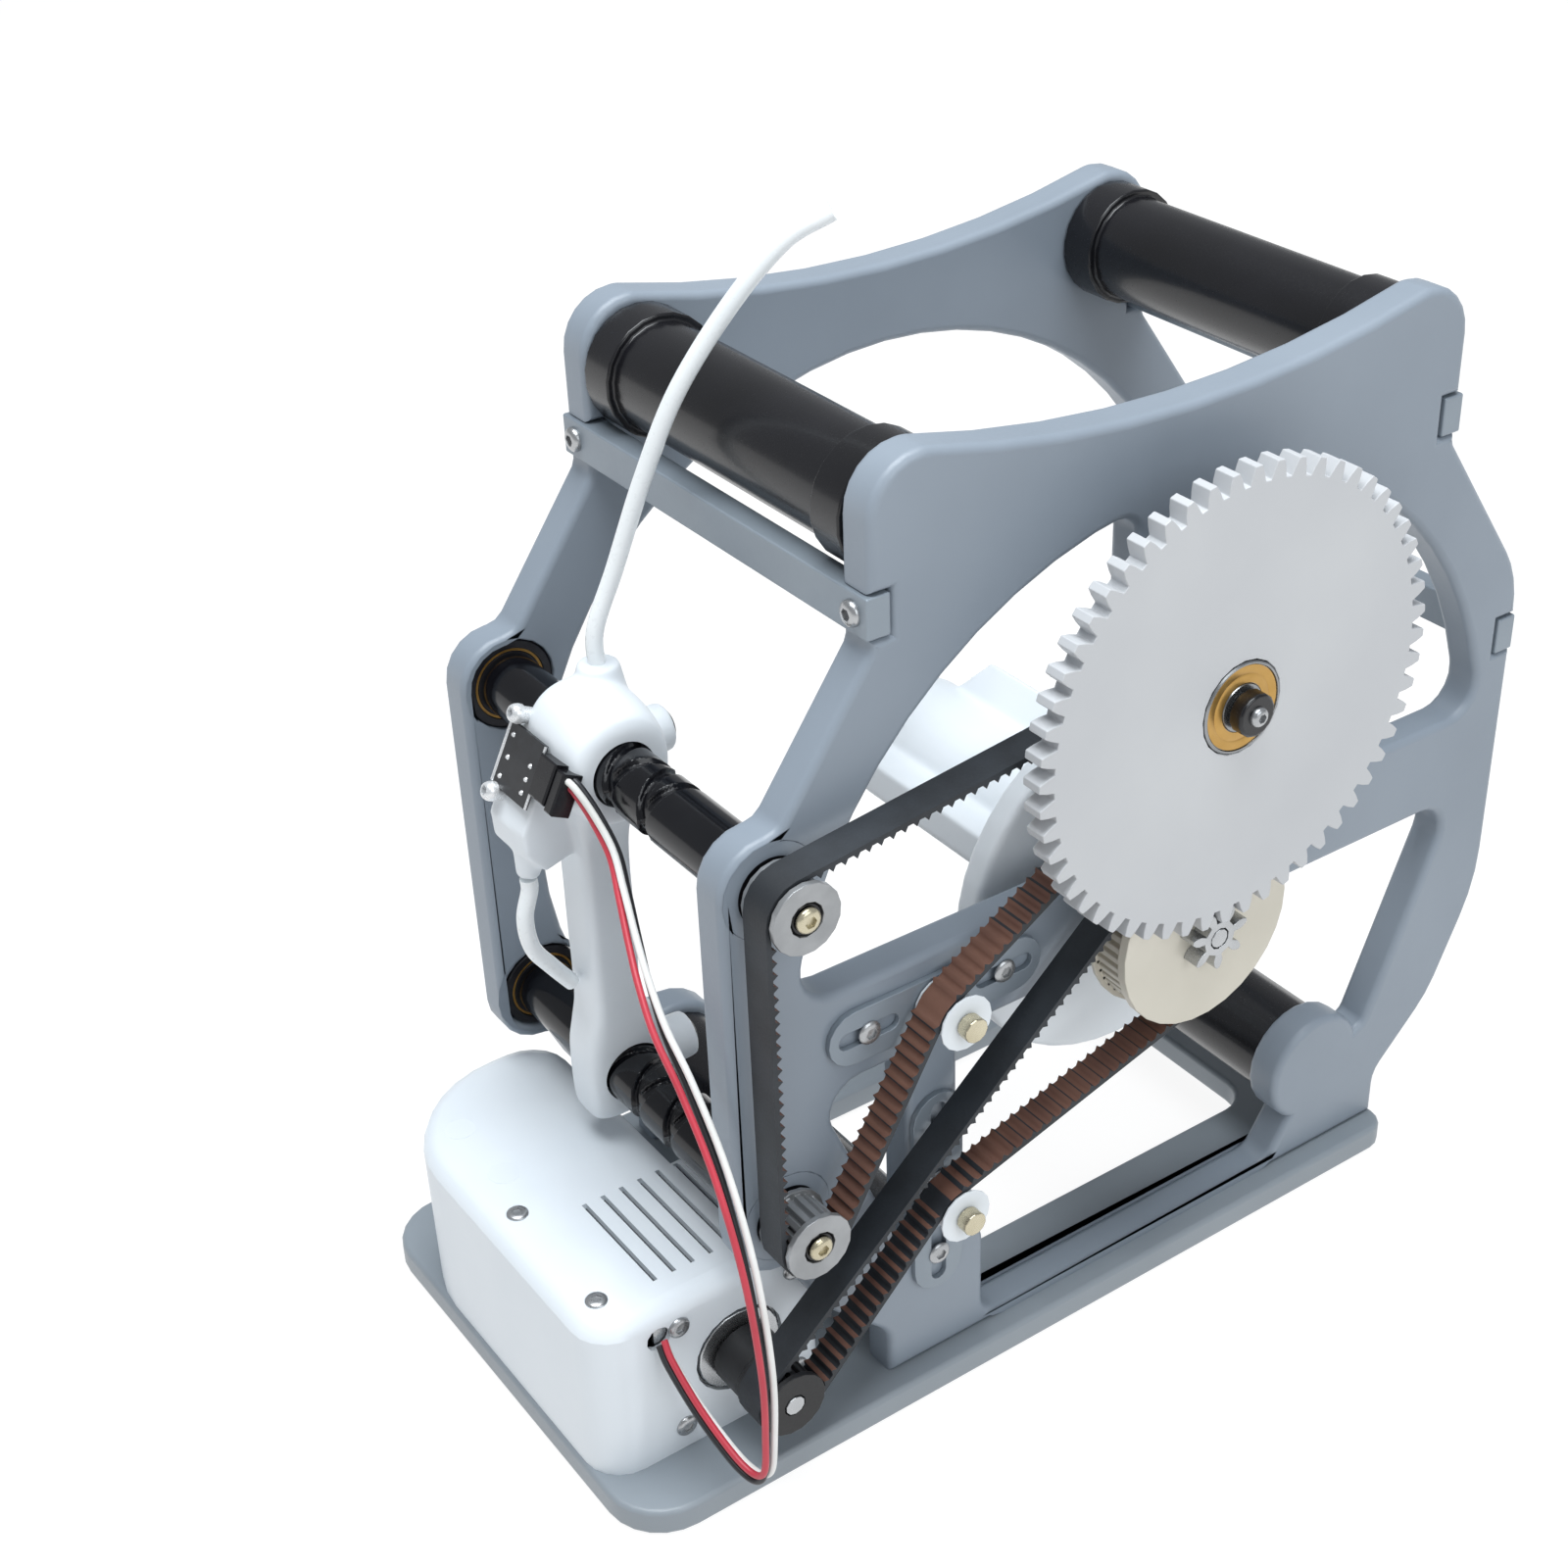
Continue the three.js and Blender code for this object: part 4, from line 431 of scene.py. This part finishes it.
def screw_heads(name, spots, facing, radius, height, skin, body):
    """Button heads with a hexagon socket: rings of points round each spot, carried outwards.

    Each ring is (share of radius, share of height, how hexagonal); a hexagonal ring's radius is
    its corner radius times cos 30 over the cosine of the angle off the nearest flat's middle.
    """
    rings = np.array([(0, 0, 0), (1.0, 0, 0), (1.0, 0.35, 0), (0.93, 0.62, 0), (0.78, 0.86, 0),
                      (0.55, 1.0, 0), (0.5, 1.0, 1), (0.48, 0.9, 1), (0.47, 0.4, 1), (0, 0.35, 0)])
    around = np.linspace(0, 2 * np.pi, 48, endpoint=False)
    off_flat = (around % (np.pi / 3)) - np.pi / 6
    hexed = np.cos(np.pi / 6) / np.cos(off_flat)
    scale = rings[:, 0:1] * np.where(rings[:, 2:3] > 0, hexed, 1.0) * radius
    out = np.asarray(facing, float)
    first = np.cross(out, (0.0, 0.0, 1.0) if abs(out[2]) < 0.9 else (1.0, 0.0, 0.0))
    first /= np.linalg.norm(first)
    second = np.cross(out, first)
    ring = (scale[..., None] * (np.cos(around)[:, None] * first + np.sin(around)[:, None] * second)
            + (rings[:, 1] * height)[:, None, None] * out)
    heads = machine(np.asarray(spots, float))[:, None, None, :] + ring / 1000
    grid_piece(name, heads, skin, body)


steel_screw = finish("steel_screw", "A9ABAD", "BDBEBF", 120, 0.28, 0.85, 2000, 0.00001)
plate_middle, screw_round, bar_screw_rise = 54, 2.9, 1.6
for name, y, z, out in (("front_bar_screws", -84.5, 211.9, -1), ("rear_top_bar_screws", 84.5, 211.9, 1),
                        ("rear_middle_bar_screws", 114.4, 145.5, 1)):
    screw_heads(name, [(x, y, z) for x in (-plate_middle, plate_middle)], (0, out, 0), screw_round,
                bar_screw_rise, steel_screw, "frame")

# Rollers and spacer tubes: glossy black plastic. The two rollers turn on fixed steel axles under
# the spool's filament; the two tubes hold the plates' feet apart.
black_plastic = finish("black_plastic", "0E0E11", "141418", 40, 0.24, 0.0, 1500, 0.000002, 0.1)
steel_bar = finish("steel_bar", "ACAEB0", "BCBEC0", 90, 0.25, 0.9, 2200, 0.00001)
for roller in ("front_roller", "rear_roller"):
    eased(roller, f"{roller}_body", 0.0006, black_plastic)
    eased(f"{roller}_axle", "frame", 0.0003, steel_bar)
for tube in ("lower_front_tube", "lower_rear_tube"):
    eased(tube, "frame", 0.0005, black_plastic)

# Ball bearings: thin ground rings with a brass-coloured shield between them, grooved halfway,
# pressed into the plates and the gear. The plates' ones have their rings painted near black as painted
# shade inside their seats, so only a narrow brass band of shield shows.


def turned(profile, y, z, steps=72):
    """Profile of (x, radius) points carried round an axis along X through (y, z), in millimetres."""
    profile = np.asarray(profile, float)
    around = np.linspace(0, 2 * np.pi, steps, endpoint=False)
    x = np.repeat(profile[:, 0:1], steps, axis=1)
    ring_y = y + profile[:, 1:2] * np.cos(around)
    ring_z = z + profile[:, 1:2] * np.sin(around)
    return machine(np.stack([x, ring_y, ring_z], axis=-1))[None]


bearing_brass = finish("bearing_brass", "B8904C", "C79F5C", 150, 0.32, 0.75, 1800, 0.00001)
ring_steel = finish("ring_steel", "8E9092", "9FA1A3", 150, 0.25, 0.9, 2500, 0.000005)
# Near-black ring colour: painted shade for the plates' screw bearings, which sit deep in their seats.
ring_painted_shade = finish("ring_painted_shade", "26262A", "303034", 150, 0.35, 0.5, 2500, 0.000005)
screw_y, upper_screw_z, lower_screw_z, spool_z, gear_z = -109.4, 158.9, 72.3, 110.6, 172.34
far_x, near_x, gear_x = -56.5, 51.5, 72.3
bearing_width, bearing_round, axle_round, shield_sink = 7, 11, 4.0, 0.5
painted_shade_rim, steel_rim = 8.9, 10.2
screw_axes = (("upper", upper_screw_z), ("lower", lower_screw_z))
bearings = (
    ("upper_screw_bearing_far", "frame", far_x, screw_y, upper_screw_z, painted_shade_rim, ring_painted_shade),
    ("upper_screw_bearing_near", "frame", near_x, screw_y, upper_screw_z, painted_shade_rim, ring_painted_shade),
    ("lower_screw_bearing_far", "frame", far_x, screw_y, lower_screw_z, painted_shade_rim, ring_painted_shade),
    ("lower_screw_bearing_near", "frame", near_x, screw_y, lower_screw_z, painted_shade_rim, ring_painted_shade),
    ("spool_bearing", "frame", near_x, 0.0, spool_z, steel_rim, ring_steel),
    ("gear_bearing", "gear", gear_x, 0.0, gear_z, steel_rim, ring_steel))
for name, body, x, y, z, rim, ring_metal in bearings:
    inner = 8.2 if ring_metal is ring_painted_shade else 5.8
    ring_profile = np.array([
        (0, axle_round), (0, inner - 0.2), (shield_sink, inner), (shield_sink, rim), (0, rim + 0.15),
        (0, bearing_round - 0.3), (0.3, bearing_round), (bearing_width - 0.3, bearing_round),
        (bearing_width, bearing_round - 0.3), (bearing_width, rim + 0.15),
        (bearing_width - shield_sink, rim), (bearing_width - shield_sink, inner),
        (bearing_width, inner - 0.2), (bearing_width, axle_round), (0, axle_round)])
    rings = grid_piece(f"{name}_rings", turned(ring_profile + (x, 0), y, z), ring_metal, body)
    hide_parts(name)
    half, groove = (rim + inner) / 2, (rim - inner) * 0.12
    face = [(0.25, rim - 0.1), (0.25, half + groove), (0.45, half), (0.25, half - groove),
            (0.25, inner + 0.1)]
    back = [(bearing_width - depth, radius) for depth, radius in face[::-1]]
    shield_profile = np.array(face + back + face[:1])
    grid_piece(f"{name}_shields", turned(shield_profile + (x, 0), y, z), bearing_brass, body)

# Bearing lips: the plate by the belts keeps a thin ring of its own metal in front of each screw
# bearing, which hides all but the bearing's bore.
lip_back, lip_round = 58.55, 11.25
lip_profile = np.array([(lip_back, 8.1), (58.95, 8.0), (58.97, lip_round), (lip_back, lip_round),
                        (lip_back, 8.1)])
for name, z in screw_axes:
    grid_piece(f"{name}_bearing_lip", turned(lip_profile, screw_y, z), plate_paint, "frame")

# Traverse screws: blackened steel bars with two crossing flat-bottomed grooves, one of each hand,
# that run into each other at both ends so that the guide turns back by itself.
screw_steel = finish("screw_steel", "0C0C10", "131418", 60, 0.13, 0.2, 2000, 0.000002)
groove_pitch, groove_half, groove_slope, groove_depth, bar_round = 14.0, 1.55, 0.55, 1.15, 7.5
steady_turns, groove_turns, lean_cosine = 1.5, 2, 0.958
grooved_half, shoulder_round, journal_round = 48.5, 7.0, 3.7
bar_rows, bar_columns, unreached = 620, 120, 99.0


def grooved_bar(y, z):
    """Radius as a function of place along the bar and angle: the bar's own, less the groove.

    The groove is sunk by groove_depth * (3 w^2 - 2 w^3), where w runs from 0 at groove_half from
    the nearest groove line to 1 at groove_slope further in; the line advances one pitch a turn
    and slows to a stop over the last half turn at each end.
    """
    along = np.linspace(-grooved_half, grooved_half, bar_rows)[:, None]
    around = np.linspace(0, 2 * np.pi, bar_columns, endpoint=False)[None, :]
    gap = np.full((bar_rows, bar_columns), unreached)
    for hand in (1, -1):
        for whole in range(-3, 4):
            turns = hand * around / (2 * np.pi) + whole
            held = np.clip(np.abs(turns), 0, groove_turns)
            late = np.maximum(0, held - steady_turns)
            line = np.sign(turns) * groove_pitch * (np.minimum(held, steady_turns) + late - late ** 2)
            across = np.abs(along - line) * np.where(held < steady_turns, lean_cosine, 1.0)
            reach = np.abs(turns) <= groove_turns + 0.02
            gap = np.minimum(gap, np.where(reach, across, unreached))
    wall = np.clip((groove_half - gap) / groove_slope, 0, 1)
    radius = bar_round - groove_depth * wall * wall * (3 - 2 * wall)
    edge = np.array([(-56.2, 0), (-56.2, 3.4), (-55.9, journal_round), (-grooved_half, journal_round),
                     (-grooved_half, shoulder_round)])
    tail = np.array([(grooved_half, shoulder_round), (grooved_half, journal_round), (71.2, journal_round),
                     (71.5, 3.4), (71.5, 0)])
    x = np.concatenate([edge[:, 0], along[:, 0], tail[:, 0]])
    full = np.concatenate([np.repeat(edge[:, 1:], bar_columns, 1), radius,
                           np.repeat(tail[:, 1:], bar_columns, 1)])
    return machine(np.stack([np.repeat(x[:, None], bar_columns, 1), y + full * np.cos(around),
                             z + full * np.sin(around)], axis=-1))[None]


for name, z in screw_axes:
    bar = grid_piece(f"{name}_traverse_screw_piece", grooved_bar(screw_y, z), screw_steel, f"{name}_screw")
    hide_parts(f"{name}_traverse_screw")

# Toothed pulleys: turned metal on the screws and the gear, black on the motor, each with flanges
# that keep the belt on. The screws' pulleys are held by a dark socket screw on the end.
bolt_metal = finish("bolt_metal", "BDB49A", "CDC5AC", 120, 0.26, 0.8, 2000, 0.000004)
pulley_metal = finish("pulley_metal", "929496", "A2A4A6", 120, 0.3, 0.6, 1800, 0.00001)
fine_edge = 0.0002
for name, z in screw_axes:
    eased(f"{name}_screw_pulley", f"{name}_screw", fine_edge, pulley_metal, steps=2)
    screw_heads(f"{name}_pulley_screw", [(71.8, screw_y, z)], (1, 0, 0), screw_round, 1.3, bolt_metal,
                f"{name}_screw")
eased("axle_pulley", "gear", fine_edge, pulley_metal, steps=2)
matt_black = finish("matt_black", "0B0B0D", "121215", 60, 0.5, 0.0, 1500, 0.000006)
eased("motor_pulley", "motor_rotor", fine_edge, matt_black, steps=2)
eased("motor_shaft", "motor_rotor", fine_edge, steel_bar, steps=2)

# Transfer gear: a large white moulded gear on its own bearing, with the black cap and bright
# screw of the fixed stud at its centre.
gear_white = finish("gear_white", "BCBEC1", "C4C6C8", 16, 0.42, 0.0, 900, 0.00001)
eased("transfer_gear", "gear", 0.00025, gear_white, angle=25, steps=2)
eased("gear_axle", "frame", fine_edge, steel_bar, steps=2)
eased("gear_axle_cap", "frame", 0.0008, black_plastic)
screw_heads("gear_axle_screw", [(84, 0, gear_z)], (1, 0, 0), 2.3, 1.4, steel_screw, "frame")

# Spool drive: the cream disc of the large toothed pulley, the small steel pinion on the end of the
# shaft, and the white hub that the spool is pushed onto.


def baked(piece):
    """The piece's mesh with its modifiers applied."""
    scene.view_layers[0].update()
    made = bpy.data.meshes.new_from_object(piece.evaluated_get(bpy.context.evaluated_depsgraph_get()))
    piece.modifiers.clear()
    piece.data = made
    return made


def softened(piece, size, passes):
    """One even skin of the given mesh size in place of the piece's own, smoothed in passes."""
    fused = piece.modifiers.new("fused", "REMESH")
    fused.mode = "VOXEL"
    fused.voxel_size = size
    soft = piece.modifiers.new("soft", "SMOOTH")
    soft.factor = 0.5
    soft.iterations = passes
    shade(baked(piece), 40)


disc_cream = finish("disc_cream", "CBC6B8", "D6D1C4", 22, 0.4, 0.0, 800, 0.00002)
hub_white = finish("hub_white", "DBE1E6", "E4E9ED", 20, 0.40, 0.0, 900, 0.00001)
eased("driven_pulley", "spool_drive", 0.0003, disc_cream, steps=2)
eased("pinion", "spool_drive", 0.00015, steel_bar, angle=25, steps=2)
eased("spool_shaft", "spool_drive", 0.0003, steel_bar)
hub = eased("spool_hub", "spool_drive", 0, hub_white)
softened(hub, size=0.0007, passes=7)

# Belt tensioners: slotted bars screwed to the plate, each with a flanged idler that turns on a
# shouldered bolt and presses on the belt's back.
for name, spots in (("upper", [(60.5, -87.1, 113.8), (60.5, -49.9, 113.8)]),
                    ("lower", [(60.5, -68.5, 39.9), (60.5, -68.5, 77.1)])):
    eased(f"{name}_tensioner_bracket", "frame", fine_edge, bar_metal, steps=2)
    eased(f"{name}_idler", f"{name}_idler_body", fine_edge, hub_white, steps=2)
    eased(f"{name}_idler_bolt", "frame", 0.0004, bolt_metal, steps=2)
    screw_heads(f"{name}_tensioner_screws", spots, (1, 0, 0), screw_round, 0.95, steel_screw,
                "frame")

# Toothed belts: black rubber backs with brown fabric-faced teeth on the inside.
belt_rubber = finish("belt_rubber", "1E2227", "2A2F35", 80, 0.6, 0.0, 1500, 0.00003)
belt_teeth = finish("belt_teeth", "6B4A3E", "7C5849", 80, 0.7, 0.0, 1500, 0.00003)
for belt in ("traverse_belt", "drive_belt"):
    piece = eased(belt, "frame", 0.0, belt_rubber)
    piece.data.materials.append(belt_teeth)
    count = len(piece.data.polygons)
    normals = np.empty(count * 3)
    centres = np.empty(count * 3)
    piece.data.polygons.foreach_get("normal", normals)
    piece.data.polygons.foreach_get("center", centres)
    normals, centres = normals.reshape(-1, 3), centres.reshape(-1, 3)
    inward = ((centres.mean(axis=0) - centres) * normals)[:, 1:].sum(axis=1) > 0
    teeth = inward & (np.abs(normals[:, 0]) < 0.5)
    piece.data.polygons.foreach_set("material_index", teeth.astype(int))

# Motor: a square steel can with ground corners behind the cover's wall, held by four screws.
eased("motor", "frame", 0.0004, steel_bar, steps=2)
motor_face, motor_y, motor_z, screw_reach = 49, -117.8, 29.6, 15.5
motor_spots = [(motor_face, motor_y + a, motor_z + b)
               for a in (-screw_reach, screw_reach) for b in (-screw_reach, screw_reach)]
screw_heads("motor_screws", motor_spots, (1, 0, 0), 2.7, 1.0, steel_screw, "frame")

# Electronics cover: a white printed shell with rounded top edges, six vents, two screws, two faint
# round marks on top, and the green control board inside on its posts.


def leaning(start, end, start_radius, end_radius, steps=40):
    """Closed round bar of straight sides from one point to another."""
    start, end = np.asarray(start, float), np.asarray(end, float)
    heading = (end - start) / np.linalg.norm(end - start)
    side = np.cross(heading, (1.0, 0.3, 0.2))
    side /= np.linalg.norm(side)
    upward = np.cross(heading, side)
    around = np.linspace(0, 2 * np.pi, steps, endpoint=False)[None, :, None]
    along = np.array([0, 0, 0.25, 0.5, 0.75, 1, 1])[:, None, None]
    radius = start_radius + (end_radius - start_radius) * along
    radius[[0, -1]] = 0
    return machine(start + along * (end - start)
                   + radius * (np.cos(around) * side + np.sin(around) * upward))[None]


cover_white = finish("cover_white", "D9E0E6", "E1E7EC", 16, 0.36, 0.0, 900, 0.00001)
board_green = finish("board_green", "1D4A34", "23563D", 200, 0.35, 0.0, 2500, 0.00001, 0.3)
eased("electronics_cover", "frame", 0, cover_white, angle=40)
eased("control_board", "frame", fine_edge, board_green, steps=2)
mark_foot, cover_top, mark_top, mark_round = 51.6, 52.6, 52.65, 3.8
marks = np.concatenate([leaning((x, y, mark_foot), (x, y, mark_top), mark_round, mark_round, 48)
                        for x, y in ((-34.4, -143.6), (-13.3, -142.9))])
grid_piece("cover_marks", marks, cover_white, "frame")
screw_heads("cover_screws", [(x, -147.3, cover_top) for x in (1.4, 37.6)], (0, 0, 1), 2.6, 0.8,
            steel_screw, "frame")

# Carriage: the white printed filament guide. A domed guide with the tube's socket on top rides on
# the upper screw, a flat arm runs down from it round the lower one, and a lip in front holds the
# loop's nozzle. Its edges run softly into one another, and both screws pass through clear bores.


def lofted(levels, turn=0, columns=72):
    """Closed skin through rings whose sizes run along a smooth curve from level to level.

    A level is (place along, centre a, centre b, half width, half depth, power); its ring is the
    superellipse |a/width|^power + |b/depth|^power = 1. turn 0 goes up in z, turn 1 along x.
    """
    rings = smooth_route(levels, 8)
    rings = np.concatenate([rings[:1], rings, rings[-1:]])
    rings[[0, -1], 3:5] = 0
    around = np.linspace(0, 2 * np.pi, columns, endpoint=False)[None, :]
    along, middle_a, middle_b, wide, deep, power = (rings[:, i:i + 1] for i in range(6))
    ring_a = middle_a + wide * np.sign(np.cos(around)) * np.abs(np.cos(around)) ** (2 / power)
    ring_b = middle_b + deep * np.sign(np.sin(around)) * np.abs(np.sin(around)) ** (2 / power)
    points = np.stack([ring_a, ring_b, np.repeat(along, columns, 1)], axis=-1)
    return machine(np.roll(points, turn, axis=-1))[None]


guide_arm = [(60, -12.2, -109.4, 5.0, 8.6, 4), (61.5, -12.2, -109.4, 6.4, 10.6, 4.5),
             (66, -12.2, -109.4, 6.9, 11.2, 5), (79, -12.2, -109.4, 6.9, 11.2, 5),
             (86, -12.2, -109.9, 6.9, 9.3, 5), (93, -12.2, -111.2, 6.9, 6.4, 6),
             (112, -12.2, -111.2, 6.9, 6.3, 6), (134, -12.2, -111.2, 6.9, 6.3, 6),
             (143, -12.2, -110.8, 7.6, 7.4, 5), (150, -12.2, -110, 9.5, 9.5, 4),
             (157, -12.2, -109, 10, 10, 4)]
guide_dome = [(-21.6, -110, 159.5, 8.5, 9.5, 2.4), (-20.6, -110, 159.5, 11, 12.8, 2.4),
              (-18.4, -109.6, 160, 12.2, 14.6, 2.4), (-14, -109.3, 160.3, 12.9, 15.2, 2.3),
              (-6, -109.3, 160, 12.9, 14.6, 2.3), (0, -109.4, 159.3, 12.2, 13.2, 2.2),
              (1.3, -109.4, 159, 11, 11.8, 2.2), (1.9, -109.4, 158.9, 9.6, 10.2, 2.2)]
carriage = grid_piece("carriage_piece", lofted(guide_arm), hub_white, None, angle=40)
forms = [lofted(guide_dome, turn=1), leaning((-16, -104, 163), (-16, -104, 177.4), 7.6, 4.7),
         leaning((-11, -112, upper_screw_z), (-11, -91.2, upper_screw_z), 6.2, 5.6),
         leaning((-11, -112, lower_screw_z), (-11, -91.2, lower_screw_z), 6.4, 5.8),
         leaning((-14, -125.5, 142), (-14, -127.5, 131.4), 4.6, 2.6)]
pad_outline = np.array([(-121.4, 164.6), (-128.4, 150.6), (-130.8, 145.6), (-130.4, 139.4),
                        (-125.5, 133.4), (-115.0, 136.5), (-112.0, 165.0)])
pad_levels = ((-23.4, 0), (-23.4, 1), (-14, 1), (-8.5, 0.93), (-8.5, 0))
pad_middle = pad_outline.mean(axis=0)
pad = np.array([[(x, *(pad_middle + share * (corner - pad_middle))) for corner in pad_outline]
                for x, share in pad_levels])
forms.append(machine(pad)[None])
work = bmesh.new()
work.from_mesh(carriage.data)
for form in forms:
    part_of = grid_piece("carriage_form", form, hub_white, None)
    work.from_mesh(part_of.data)
    bpy.data.objects.remove(part_of)
work.to_mesh(carriage.data)
work.free()
softened(carriage, size=0.0005, passes=22)
bore_start, bore_end, bore_round = -30, 8, 7.9
bores = np.concatenate([leaning((bore_start, screw_y, z), (bore_end, screw_y, z), bore_round, bore_round, 64)
                        for _, z in screw_axes])
screw_bores = grid_piece("screw_bores", bores, screw_steel, None)
bore = carriage.modifiers.new("bore", "BOOLEAN")
bore.operation = "DIFFERENCE"
bore.solver = "MANIFOLD"
bore.object = screw_bores
mesh = baked(carriage)
bpy.data.objects.remove(screw_bores)
shade(mesh, 40)
mesh.materials.clear()
mesh.materials.append(hub_white)
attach(carriage, "carriage_body")
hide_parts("carriage")

# Sensor: a small black circuit board on the guide's sloping front. It has light cut edges, two
# rows of solder dots, a bright screw with its nut past each end of the outer edge, and a black
# plug beside it that takes the three wires.
board_black = finish("board_black", "17181B", "202226", 300, 0.4, 0.0, 2500, 0.000006, 0.2)
solder = finish("solder", "D9DBDD", "E8E9EA", 300, 0.25, 0.5, 2500, 0.000003)
slope_up = np.array((0.0, 0.4472, 0.8944))
slope_out = np.array((0.0, -0.8944, 0.4472))
board_foot = np.array((0.0, -128.3, 151.2)) + slope_out


def on_board(across, up, out=0.0):
    """Place on the sensor board's face from its distance across, up the slope and off the face."""
    return board_foot + (across, 0, 0) + up * slope_up + out * slope_out


def sloped_box(across, up, out, inset):
    """Closed box with small bevels, between pairs of distances across, up and off the board."""
    rings = []
    half_wide, half_high = (across[1] - across[0]) / 2, (up[1] - up[0]) / 2
    for depth, shrink in ((out[0], None), (out[0], inset), (out[0] + inset, 0), (out[1] - inset, 0),
                          (out[1], inset), (out[1], None)):
        wide, high = (0, 0) if shrink is None else (half_wide - shrink, half_high - shrink)
        rings.append([on_board(sum(across) / 2 + i * wide, sum(up) / 2 + j * high, depth)
                      for i, j in ((1, 1), (-1, 1), (-1, -1), (1, -1))])
    return machine(np.array(rings))[None]


board = grid_piece("sensor_board_piece", sloped_box((-22.6, -7.8), (0.8, 16.0), (0, 1.0), 0.1), board_black,
                   "carriage_body")
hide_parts("sensor_board")
plug = grid_piece("sensor_connector_piece", np.concatenate([
    sloped_box((-7.6, -1.0), (4.8, 14.6), (-4.6, 1.8), 0.4),
    sloped_box((-1.1, 2.0), (3.8, 13.8), (-4.2, 1.2), 0.4)]), black_plastic, "carriage_body")
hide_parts("sensor_connector")
screw_across, screw_ups, nut_round = -20.6, (-0.6, 18.2), 1.9
screw_heads("sensor_screws", [on_board(screw_across, up, 1.0) for up in screw_ups], slope_out, 2.3, 2.6,
            solder, "carriage_body")
nuts = np.concatenate([
    leaning(on_board(screw_across, up, -2.6), on_board(screw_across, up, 1.1), nut_round, nut_round, 24)
    for up in screw_ups])
grid_piece("sensor_nuts", nuts, solder, "carriage_body")
grid_piece("sensor_edges", np.concatenate([
    leaning(on_board(x, low, 0.75), on_board(x, high, 0.75), size, size, 12)
    for x, low, high, size in ((-22.6, 1.4, 16.2, 0.55), (-7.8, 0.9, 15.9, 0.32))]), solder,
    "carriage_body")
grid_piece("solder_dots", np.concatenate([
    leaning(on_board(x, up, 0.8), on_board(x, up, 1.35), 0.75, 0.4, 16)
    for x, up in ((-10.6, 3.6), (-10.6, 6.8), (-10.6, 10.0), (-20.2, 3.4), (-19.6, 8.2), (-20.2, 13.4))]),
    solder, "carriage_body")
screw_heads("follower_screws", [(-11, -91.3, z) for _, z in screw_axes], (0, 1, 0), 4.0, 1.3, screw_steel,
            "carriage_body")
